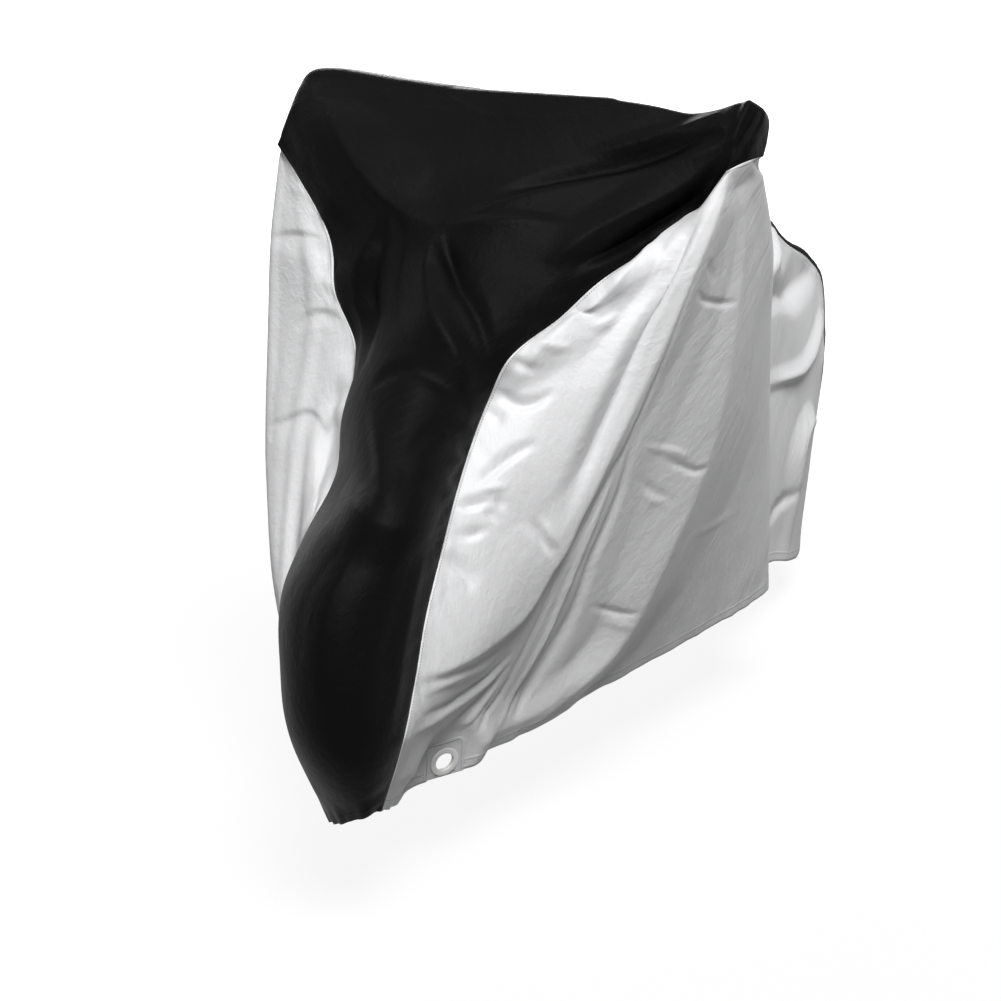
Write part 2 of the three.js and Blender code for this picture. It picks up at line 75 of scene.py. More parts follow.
# Cross sections of the centre panel: left seam, ridge, right seam, squareness.
# Each point is [out, along, up], in shares of the half span, the length and the height.
frontStations = [
    [[0.31, 0.066, 0.113], [0.14, 0.062, 0.083], [-0.115, 0.125, 0.022], 2.0],  # front hem
    [[0.395, 0.071, 0.22], [0.18, 0.018, 0.215], [-0.158, 0.09, 0.22], 2.0],  # nose foot
    [[0.389, 0.092, 0.3], [0.18, 0.013, 0.31], [-0.208, 0.102, 0.32], 2.0],  # nose
    [[0.371, 0.112, 0.37], [0.155, 0.028, 0.4], [-0.27, 0.123, 0.375], 2.0],  # nose crown
    [[0.343, 0.143, 0.44], [0.165, 0.062, 0.48], [-0.32, 0.161, 0.42], 2.0],  # wheel top
    [[0.317, 0.173, 0.505], [0.165, 0.107, 0.557], [-0.343, 0.211, 0.48], 2.0],  # neck foot
    [[0.286, 0.209, 0.565], [0.057, 0.156, 0.632], [-0.371, 0.228, 0.54], 2.0],  # neck
    [[0.286, 0.233, 0.613], [0.043, 0.2, 0.698], [-0.372, 0.242, 0.6], 2.0],  # collar
    [[0.357, 0.244, 0.677], [0.029, 0.242, 0.757], [-0.414, 0.256, 0.655], 2.0],  # collar top
    [[0.457, 0.289, 0.72], [0.023, 0.272, 0.805], [-0.545, 0.267, 0.72], 2.1],  # breast
    [[0.571, 0.313, 0.768], [0.014, 0.3, 0.845], [-0.6, 0.281, 0.77], 2.3],  # breast top
    [[0.686, 0.372, 0.807], [0, 0.329, 0.886], [-0.671, 0.289, 0.81], 2.6],  # yoke
    [[0.786, 0.394, 0.845], [0, 0.354, 0.926], [-0.829, 0.301, 0.864], 3.2],  # yoke top
    [[0.914, 0.397, 0.91], [0, 0.379, 0.968], [-0.986, 0.314, 0.907], 4.5],  # grip front
]
gripStations = [
    [[0.95, 0.41, 0.918], [0, 0.392, 0.987], [-1.01, 0.332, 0.913], 8.0],  # grip fore
    [[0.972, 0.424, 0.921], [0, 0.401, 0.996], [-1.014, 0.351, 0.92], 9.0],  # grip
    [[0.978, 0.438, 0.92], [0, 0.418, 0.99], [-1.006, 0.375, 0.92], 7.0],  # grip back
]
rearStations = [
    [[0.871, 0.475, 0.905], [0, 0.467, 0.96], [-0.886, 0.444, 0.905], 3.5],  # behind the bar
    [[0.571, 0.564, 0.865], [0, 0.561, 0.905], [-0.586, 0.55, 0.865], 2.4],  # span
    [[0.343, 0.65, 0.838], [0, 0.65, 0.872], [-0.357, 0.647, 0.838], 2.2],  # saddle nose
    [[0.251, 0.722, 0.785], [0, 0.717, 0.835], [-0.257, 0.722, 0.788], 2.2],  # saddle
    [[0.17, 0.794, 0.682], [0, 0.794, 0.7], [-0.206, 0.794, 0.675], 2.3],  # seat back
    [[0.145, 0.861, 0.602], [0, 0.861, 0.613], [-0.2, 0.861, 0.594], 2.5],  # rack
    [[0.155, 0.92, 0.547], [0, 0.925, 0.553], [-0.21, 0.922, 0.54], 2.7],  # rack end
    [[0.15, 0.961, 0.481], [0, 0.972, 0.49], [-0.171, 0.964, 0.48], 2.3],  # tail
    [[0.157, 0.968, 0.34], [0, 0.982, 0.345], [-0.157, 0.972, 0.34], 2.2],  # tail middle
    [[0.15, 0.95, 0.17], [0, 0.964, 0.175], [-0.15, 0.961, 0.17], 2.2],  # tail foot
    [[0.143, 0.931, -0.005], [0, 0.944, -0.005], [-0.143, 0.939, -0.005], 2.2],  # rear hem
]

# Height of the cloth over the handlebar, from the right seam to the left one.
barShares = [0, 0.06, 0.14, 0.3, 0.5, 0.62, 0.71, 0.78, 0.88, 1]
barLift = [0, 0.02, 0.018, 0.006, -0.006, -0.014, -0.021, -0.014, 0.006, 0]

# Lines down each side panel from the grip to the hem, at these shares of the way down.
shares = [0, 0.2, 0.4, 0.6, 0.8, 1]
leftLines = [
    [[0.917, 0.401, 0.913], [0.72, 0.342, 0.765], [0.543, 0.271, 0.642], [0.485, 0.214, 0.48],
        [0.445, 0.162, 0.29], [0.215, 0.125, 0.075]],  # front flat
    [[0.925, 0.407, 0.915], [0.814, 0.344, 0.755], [0.7, 0.306, 0.605], [0.586, 0.261, 0.445],
        [0.44, 0.22, 0.265], [0.285, 0.194, 0.088]],  # main fold
    [[0.95, 0.419, 0.92], [0.905, 0.428, 0.76], [0.834, 0.425, 0.59], [0.734, 0.422, 0.42],
        [0.586, 0.378, 0.25], [0.42, 0.372, 0.091]],  # middle fold
    [[0.972, 0.432, 0.921], [0.903, 0.496, 0.765], [0.814, 0.536, 0.604], [0.749, 0.568, 0.45],
        [0.691, 0.594, 0.28], [0.629, 0.621, 0.107]],  # drop edge
    [[0.976, 0.435, 0.92], [0.7, 0.55, 0.77], [0.557, 0.617, 0.61], [0.491, 0.65, 0.44],
        [0.474, 0.667, 0.27], [0.423, 0.688, 0.092]],  # behind the edge
    [[0.978, 0.436, 0.92], [0.6, 0.572, 0.79], [0.357, 0.683, 0.63], [0.32, 0.744, 0.43],
        [0.33, 0.767, 0.245], [0.31, 0.786, 0.05]],  # quarter
    [[0.978, 0.437, 0.92], [0.571, 0.583, 0.82], [0.314, 0.722, 0.685], [0.295, 0.822, 0.475],
        [0.295, 0.867, 0.25], [0.235, 0.88, -0.004]],  # rear side
]
rightLines = [
    [[-0.99, 0.318, 0.908], [-0.74, 0.28, 0.78], [-0.585, 0.253, 0.65], [-0.525, 0.213, 0.49],
        [-0.375, 0.15, 0.27], [-0.2, 0.142, 0.032]],  # front flat
    [[-1, 0.322, 0.91], [-0.935, 0.292, 0.782], [-0.85, 0.262, 0.625], [-0.73, 0.22, 0.46],
        [-0.51, 0.17, 0.272], [-0.28, 0.168, 0.042]],  # main fold
    [[-1.006, 0.339, 0.916], [-0.963, 0.361, 0.76], [-0.891, 0.367, 0.59], [-0.786, 0.372, 0.42],
        [-0.643, 0.35, 0.24], [-0.471, 0.344, 0.06]],  # middle fold
    [[-1.009, 0.361, 0.92], [-0.929, 0.444, 0.762], [-0.846, 0.506, 0.604], [-0.78, 0.544, 0.44],
        [-0.714, 0.572, 0.26], [-0.651, 0.594, 0.07]],  # drop edge
    [[-1.009, 0.368, 0.92], [-0.8, 0.506, 0.768], [-0.643, 0.589, 0.61], [-0.543, 0.633, 0.44],
        [-0.509, 0.658, 0.265], [-0.471, 0.678, 0.07]],  # behind the edge
    [[-1.006, 0.371, 0.92], [-0.671, 0.539, 0.795], [-0.429, 0.661, 0.635], [-0.357, 0.739, 0.428],
        [-0.343, 0.767, 0.24], [-0.329, 0.789, 0.05]],  # quarter
    [[-1.006, 0.373, 0.92], [-0.614, 0.561, 0.825], [-0.337, 0.717, 0.695], [-0.297, 0.822, 0.48],
        [-0.291, 0.872, 0.25], [-0.214, 0.878, 0.008]],  # rear side
]

drape = {
    "packedRows": 24,  # rows of the solids from a hem to the handlebar
    "packedGripRows": 4,  # and over it
    "sectionPoints": 241,
    "evenShare": 0.55,  # how far a section's columns go from even angles to even lengths
    "liftRows": (1, 8),  # packed rows from the bar over which its lift fades
    "topShare": 0.05,  # of the way down, where a side panel meets the grip
    "foldStep": 0.008,
    "foldRound": 0.002,
    "foldPower": 1.25,
    "noiseCells": 64,
}


def smooth(value, low, high):
    t = np.clip((value - low) / (high - low), 0, 1)
    return t * t * (3 - 2 * t)


def inWorld(points):
    return (np.asarray(points, float) - holder) * reach


def curve(knots, values, at):
    # smooth curve through values at rising knots
    knots = np.asarray(knots, float)
    values = np.asarray(values, float)
    last = len(knots) - 1
    order = np.arange(last + 1)
    before, after = np.maximum(order - 1, 0), np.minimum(order + 1, last)
    ones = (1,) * (values.ndim - 1)
    slope = (values[after] - values[before]) / (knots[after] - knots[before]).reshape((-1,) + ones)
    at = np.asarray(at, float)
    i = np.clip(np.searchsorted(knots, at, side="left") - 1, 0, last - 1)
    step = (knots[i + 1] - knots[i]).reshape(at.shape + ones)
    s = ((at - knots[i]) / (knots[i + 1] - knots[i])).reshape(at.shape + ones)
    rise = s * s * (3 - 2 * s)
    bend = slope[i] * s * (1 - s) ** 2 - slope[i + 1] * s * s * (1 - s)
    return values[i] * (1 - rise) + values[i + 1] * rise + step * bend


def knotsAlong(*paths):
    steps = np.mean([np.linalg.norm(np.diff(path, axis=0), axis=1) for path in paths], axis=0)
    knots = np.concatenate([[0], np.cumsum(steps)])
    return knots / knots[-1]


def sections(stations, at):
    left, ridge, right = (inWorld([row[k] for row in stations]) for k in range(3))
    knots = knotsAlong(left, right)
    square = [row[3] for row in stations]
    return [curve(knots, values, at) for values in (left, ridge, right, square)]


def normals(grid, outwards):
    down, across = np.gradient(grid, axis=0), np.gradient(grid, axis=1)
    found = np.cross(across, down) * outwards
    return found / np.maximum(np.linalg.norm(found, axis=-1, keepdims=True), 1e-12)


gripFront = [frontStations[-1]] + gripStations
gripRear = [gripStations[-1]] + rearStations


def columnShares(even, fine, sums):
    byLength, byAngle = even * sums[-1], np.interp(even, fine, sums)
    return np.interp(byAngle + drape["evenShare"] * (byLength - byAngle), sums, fine)


def centreSurface(rows, columns):
    # rows are counted from the front hem to the grips, over the bar, and on to the rear hem
    hemRows, gripRows = drape["packedRows"], drape["packedGripRows"]
    stretches = [
        (frontStations, np.linspace(0, 1, rows[0] + 1)[:-1], 0, hemRows),
        (gripFront, np.linspace(0, 1, rows[1] + 1)[:-1], hemRows, gripRows),
        (gripRear, np.linspace(0, 1, rows[2] + 1), hemRows + gripRows, hemRows),
    ]
    found = [sections(stations, at) for stations, at, first, count in stretches]
    left, ridge, right, square = (np.concatenate([part[k] for part in found]) for k in range(4))
    row = np.concatenate([first + at * count for stations, at, first, count in stretches])
    middle = (left + right)[:, None] / 2
    toLeft, toRidge = left[:, None] - middle, ridge[:, None] - middle
    power = 2 / square[:, None]

    def section(share):
        angle = (share - 0.5) * math.pi
        out = np.sign(np.sin(angle)) * np.abs(np.sin(angle)) ** power
        up = np.clip(np.cos(angle), 0, 1) ** power
        return middle + toLeft * out[..., None] + toRidge * up[..., None]

    fine = np.linspace(0, 1, drape["sectionPoints"])
    lengths = np.linalg.norm(np.diff(section(np.tile(fine, (len(row), 1))), axis=1), axis=2)
    lengths = np.concatenate([np.zeros((len(row), 1)), np.cumsum(lengths, axis=1)], axis=1)
    even = np.linspace(0, 1, columns + 1)
    grid = section(np.array([columnShares(even, fine, sums) for sums in lengths]))
    away = np.abs(row - hemRows - gripRows / 2)
    lift = reach[2] * (1 - smooth(away, *drape["liftRows"]))
    grid[..., 2] += lift[:, None] * curve(barShares, barLift, even)
    return grid, row, even


def sideSurface(lines, seam, rows, columns):
    # rows run down from the grip, columns round from the front seam to the rear one
    down = np.linspace(0, 1, rows + 1)
    front = sections(frontStations, 1 - down)[seam]
    rear = sections(gripRear, down)[seam]
    paths = np.stack([front] + [curve(shares, inWorld(line), down) for line in lines] + [rear])
    half = np.stack([path[rows // 2] for path in paths])
    knots = knotsAlong(half)
    counts = np.maximum(2, np.round(columns * np.diff(knots)).astype(int))
    line = np.concatenate([i + np.arange(n) / n for i, n in enumerate(counts)] + [[len(counts)]])
    grid = curve(knots, paths, np.interp(line, np.arange(len(knots)), knots)).transpose(1, 0, 2)
    top = sections(gripFront, line / len(counts))[seam]
    grid += (1 - smooth(down, 0, drape["topShare"]))[:, None, None] * (top - grid[0])
    return grid, line, down


def inCell(corner, s, t):
    # between the four corners of a cell, s of the way down it and t across
    near = (1 - t) * corner(0, 0) + t * corner(0, 1)
    far = (1 - t) * corner(1, 0) + t * corner(1, 1)
    return (1 - s) * near + s * far


def spot(grid, across, down, points):
    # places on a grid, from its own coordinates
    rows = np.interp(points[:, 1], down, np.arange(len(down)))
    columns = np.interp(points[:, 0], across, np.arange(len(across)))
    i = np.minimum(rows.astype(int), len(down) - 2)
    j = np.minimum(columns.astype(int), len(across) - 2)

    def corner(a, b):
        return grid[i + a, j + b]

    return inCell(corner, (rows - i)[:, None], (columns - j)[:, None])


def noise(seed, u, v):
    # smooth noise from -1 to 1, one cell a unit
    count = drape["noiseCells"]
    cells = np.random.default_rng(seed).uniform(-1, 1, (count, count))
    i, j = np.floor(u).astype(int), np.floor(v).astype(int)
    s, t = (x * x * (3 - 2 * x) for x in (u - i, v - j))

    def corner(a, b):
        return cells[(i + a) % count, (j + b) % count]

    return inCell(corner, s, t)


def nearestOn(path, points, facing, outwards):
    # each point's distance from a path, how far along it is, and on which side
    nearest = np.full(len(points), np.inf)
    order, side = np.zeros(len(points)), np.zeros(len(points))
    for k, step in enumerate(np.diff(path, axis=0)):
        away = points - path[k]
        share = np.clip(away @ step / (step @ step), 0, 1)
        away = away - share[:, None] * step
        distance = np.linalg.norm(away, axis=1)
        turn = np.sign((away * np.cross(facing, step)).sum(axis=1))
        closer = distance < nearest
        nearest[closer] = distance[closer]
        order[closer] = k + share[closer]
        side[closer] = -outwards * turn[closer]
    return nearest, order, side


def foldRelief(look, grid, across, down):
    # each fold is a run of [across, down, height, width before, width after], its sizes in mm
    relief = np.zeros(grid.shape[:2])
    facing = normals(grid, look["outwards"])
    for fold in look["folds"]:
        rows = np.array(fold, float)
        rough = spot(grid, across, down, rows[:, :2])
        length = np.linalg.norm(np.diff(rough, axis=0), axis=1).sum()
        count = max(4, int(length / drape["foldStep"]))
        fine = curve(knotsAlong(rough), rows, np.linspace(0, 1, count + 1))
        path = spot(grid, across, down, fine[:, :2])
        widest = fine[:, 3:].max() / 1000
        inside = np.all((grid > path.min(axis=0) - widest) & (grid < path.max(axis=0) + widest), axis=2)
        nearest, order, side = nearestOn(path, grid[inside], facing[inside], look["outwards"])
        steps = np.arange(len(path))
        height, before, after = (np.interp(order, steps, values / 1000) for values in fine[:, 2:].T)
        width = np.maximum(np.where(side < 0, before, after), 1e-4)
        reached = np.clip((np.hypot(nearest, drape["foldRound"]) - drape["foldRound"]) / width, 0, 1)
        sharp = (1 - reached) ** drape["foldPower"]
        soft = 0.5 + 0.5 * np.cos(math.pi * reached)
        relief[inside] += height * (look["crisp"] * sharp + (1 - look["crisp"]) * soft)
    return relief


def crumpleRelief(look, across, along, fromSeam, fromHem):
    # small creases all over, and puckers beside the seams and the hem
    def leaning(seed, lean, wide, high):
        return noise(seed, (across + lean * along) / wide, along / high)

    creased = sum(share * leaning(*crease) for *crease, share in look["creases"])
    creased = creased + sum(share * (1 - 2 * np.abs(leaning(*ridge))) for *ridge, share in look["ridges"])
    seed, wide, high, peak, end = look["seamPuckers"]
    pull = smooth(fromSeam, 0, peak) * (1 - smooth(fromSeam, peak, end))
    puckered = pull * noise(seed, across / wide, along / high)
    seed, wide, high, start, end = look["hemPuckers"]
    puckered += (1 - smooth(fromHem, start, end)) * noise(seed, across / wide, along / high)
    return (look["crinkle"] * creased + look["pucker"] * puckered) / 1000


def flatSizes(grid):
    # metres across and down each grid line
    across = np.linalg.norm(np.diff(grid, axis=1, prepend=grid[:, :1]), axis=2).cumsum(axis=1)
    down = np.linalg.norm(np.diff(grid, axis=0, prepend=grid[:1]), axis=2).cumsum(axis=0)
    return across, down


def clothPiece(name, grid, flat, edges, keep=None):
    # flat and edges are pairs: places on the flat cloth, and distances from its seams and from its hem
    rows, columns = grid.shape[:2]
    index = np.arange(rows * columns).reshape(rows, columns)
    quads = np.stack([index[:-1, :-1], index[1:, :-1], index[1:, 1:], index[:-1, 1:]], -1)
    if keep is not None:
        quads = quads[keep]
    quads = quads.reshape(-1, 4)
    mesh = bpy.data.meshes.new(name)
    mesh.from_pydata(grid.reshape(-1, 3).tolist(), [], quads.tolist())
    for layer, pair in (("cloth", flat), ("edges", edges)):
        corners = np.stack(pair, -1).reshape(-1, 2)[quads.ravel()]
        mesh.uv_layers.new(name=layer).data.foreach_set("uv", corners.astype(np.float32).ravel())
    piece = bpy.data.objects.new(mesh.name, mesh)
    bpy.context.collection.objects.link(piece)
    return piece


def select(piece):
    bpy.ops.object.select_all(action="DESELECT")
    piece.select_set(True)
    bpy.context.view_layer.objects.active = piece


def applyModifiers(piece):
    select(piece)
    for modifier in list(piece.modifiers):
        bpy.ops.object.modifier_apply(modifier=modifier.name)


class Wire:
    # a socket of a material's nodes, which can be added, multiplied and so on
    def __init__(self, tree, socket=None):
        self.tree, self.socket = tree, socket

    def node(self, kind, settings, values, output=0):
        made = self.tree.nodes.new("ShaderNode" + kind)
        for name, value in settings.items():
            setattr(made, name, value)
        for name, value in values.items():
            if isinstance(value, Wire):
                self.tree.links.new(value.socket, made.inputs[name])
            else:
                made.inputs[name].default_value = value
        return Wire(self.tree, made.outputs[output] if made.outputs else None)

    def math(self, operation, *values):
        return self.node("Math", {"operation": operation}, dict(enumerate(values)))

    def __add__(self, other):
        return self.math("ADD", self, other)

    def __sub__(self, other):
        return self.math("SUBTRACT", self, other)

    def __rsub__(self, other):
        return self.math("SUBTRACT", other, self)

    def __mul__(self, other):
        return self.math("MULTIPLY", self, other)

    __radd__, __rmul__ = __add__, __mul__

    def step(self, low, high):
        # 0 below low, 1 above high, smooth between them
        settings = {"interpolation_type": "SMOOTHSTEP"}
        return self.node("MapRange", settings, {"Value": self, "From Min": low, "From Max": high})

    def band(self, low, high, soft):
        return self.step(low - soft, low) * (1 - self.step(high, high + soft))

    def noise(self, vector, scale, detail):
        return self.node("TexNoise", {}, {"Vector": vector, "Scale": scale, "Detail": detail})

    def stretched(self, vector, sizes, turn=0.0):
        values = {"Vector": vector, "Scale": sizes, "Rotation": (0, 0, turn)}
        return self.node("Mapping", {"vector_type": "POINT"}, values)

    def mix(self, factor, first, second):
        # sockets 6 and 7, and output 2, are a Mix node's colours
        return self.node("Mix", {"data_type": "RGBA"}, {0: factor, 6: first, 7: second}, 2)


def newMaterial(name):
    material = bpy.data.materials.new(name)
    material.use_nodes = True
    tree = material.node_tree
    tree.nodes.clear()
    return material, Wire(tree)


def surface(wire, values, height):
    # height is in millimetres
    bump = wire.node("Bump", {}, {"Strength": 1.0, "Distance": 0.001, "Height": height})
    shader = wire.node("BsdfPrincipled", {}, values | {"Normal": bump})
    wire.node("OutputMaterial", {}, {"Surface": shader})


# One finish for each cloth. Sizes are in metres, and heights are in millimetres.
silverCloth = {
    "colour": (0.72, 0.722, 0.73, 1),
    "worn": (0.66, 0.662, 0.67, 1),
    "dust": (0.52, 0.515, 0.5, 1),
    "metallic": 0.08,
    "roughness": (0.42, 0.54),
    "specular": 0.03,
    "yarn": 0.0011,
    "yarnHeight": 0.05,
    "crinkle": 0.95,
    "stitchHeight": 0.5,
    "thread": (0.3, 0.3, 0.31, 1),
}
blackCloth = {
    "colour": (0.0014, 0.0014, 0.0015, 1),
    "worn": (0.0024, 0.0024, 0.0025, 1),
    "dust": (0.006, 0.0059, 0.0057, 1),
    "metallic": 0.0,
    "roughness": (0.42, 0.54),
    "specular": 0.045,
    "yarn": 0.0012,
    "yarnHeight": 0.04,
    "crinkle": 0.9,
    "stitchHeight": 0.5,
    "thread": (0.012, 0.012, 0.0125, 1),
}
patchCloth = silverCloth | {
    "colour": (0.66, 0.663, 0.67, 1),
    "yarn": 0.0016,
    "yarnHeight": 0.08,
    "crinkle": 0.12,
}
sewing = {
    "seamStitch": 0.005,  # in from the edge
    "hemStitch": 0.016,
    "hemDepth": (0.0192, 0.0208),
    "hemHeight": 0.4,  # heights in mm
    "tapeDepth": (0.008, 0.0095),
    "tapeHeight": 0.12,
    "stitchLength": 0.0042,
    "stitchWidth": 0.0006,
    "stitchSoftness": 0.0004,
    "threadShare": 0.8,
    "puckerScale": 70,
    "puckerHeight": 1.2,
    "seamPucker": (0.002, 0.03),
    "hemPucker": (0.002, 0.04),
}
wear = {
    "wornPatches": (0.35, 0.7),
    "wornShare": 0.55,
    "wornRidges": (0.55, 0.95),
    "ridgeShare": 0.12,
    "dustReach": (0.02, 0.3),  # up from the hem
    "dustPatches": (0.42, 0.75),
    "dustShare": 0.4,
    "dustRoughness": 0.08,
}
# small sharp ridges in the cloth: [scale, stretch, turn, share]
ridgeBands = [
    [20, (1, 0.7, 1), 0.5, 0.45],
    [48, (1, 0.8, 1), -0.7, 0.35],
    [130, (1, 0.9, 1), 0, 0.2],
]


def stitchRow(edge, depth, run):
    # dashes at a depth from an edge, where run is the way along it
    width = sewing["stitchWidth"]
    dashes = run.math("SINE", run * (2 * math.pi / sewing["stitchLength"])).step(-0.5, 0.3)
    return edge.band(depth - width, depth + width, sewing["stitchSoftness"]) * dashes


def clothMaterial(name, look):
    material, wire = newMaterial(name)
    cloth = wire.node("UVMap", {"uv_map": "cloth"}, {})
    edges = wire.node("UVMap", {"uv_map": "edges"}, {})
    across, down = (wire.node("SeparateXYZ", {}, {"Vector": cloth}, axis) for axis in "XY")
    seam, hem = (wire.node("SeparateXYZ", {}, {"Vector": edges}, axis) for axis in "XY")
    turn = 2 * math.pi / look["yarn"]
    weave = wire.math("SINE", across * turn) * wire.math("SINE", down * turn)

    ridges = 0
    for scale, sizes, angle, share in ridgeBands:
        grain = wire.noise(wire.stretched(cloth, sizes, angle), scale, 2)
        ridges = (1 - wire.math("ABSOLUTE", grain * 4 - 2)) * share + ridges
    broad = wire.noise(cloth, 5, 3)

    stitches = stitchRow(seam, sewing["seamStitch"], down) + stitchRow(hem, sewing["hemStitch"], across)
    turned = 1 - hem.step(*sewing["hemDepth"])
    tape = 1 - seam.step(*sewing["tapeDepth"])
    seamWaves = wire.noise(wire.stretched(cloth, (0.2, 1, 1)), sewing["puckerScale"], 1)
    hemWaves = wire.noise(wire.stretched(cloth, (1, 0.2, 1)), sewing["puckerScale"], 1)
    puckers = seamWaves * (1 - seam.step(*sewing["seamPucker"]))
    puckers = puckers + hemWaves * (1 - hem.step(*sewing["hemPucker"]))

    height = weave * look["yarnHeight"] + ridges * look["crinkle"] + puckers * sewing["puckerHeight"]
    height = height + stitches * look["stitchHeight"]
    height = height + turned * sewing["hemHeight"] + tape * sewing["tapeHeight"]

    dusty = (1 - hem.step(*wear["dustReach"])) * wire.noise(cloth, 9, 4).step(*wear["dustPatches"])
    colour = wire.mix(broad.step(*wear["wornPatches"]) * wear["wornShare"], look["colour"], look["worn"])
    colour = wire.mix(ridges.step(*wear["wornRidges"]) * wear["ridgeShare"], colour, look["worn"])
    colour = wire.mix(dusty * wear["dustShare"], colour, look["dust"])
    colour = wire.mix(stitches * sewing["threadShare"], colour, look["thread"])
    smoothest, roughest = look["roughness"]
    roughness = broad * (roughest - smoothest) + smoothest + dusty * wear["dustRoughness"]
    values = {
        "Base Color": colour,
        "Roughness": roughness,
        "Metallic": look["metallic"],
        "Specular IOR Level": look["specular"],
    }
    surface(wire, values, height)
    return material


def finish(piece, node, material):
    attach(piece, cover["body"])
    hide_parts(node)
    piece.data.materials.clear()
    piece.data.materials.append(material)


def thicken(piece, thickness):
    wall = piece.modifiers.new("wall", "SOLIDIFY")
    wall.thickness = thickness
    wall.offset = 0
    applyModifiers(piece)
    piece.data.shade_smooth()


silver = clothMaterial("silverCloth", silverCloth)
black = clothMaterial("blackCloth", blackCloth)
patchSilver = clothMaterial("patchCloth", patchCloth)
print("materials made")

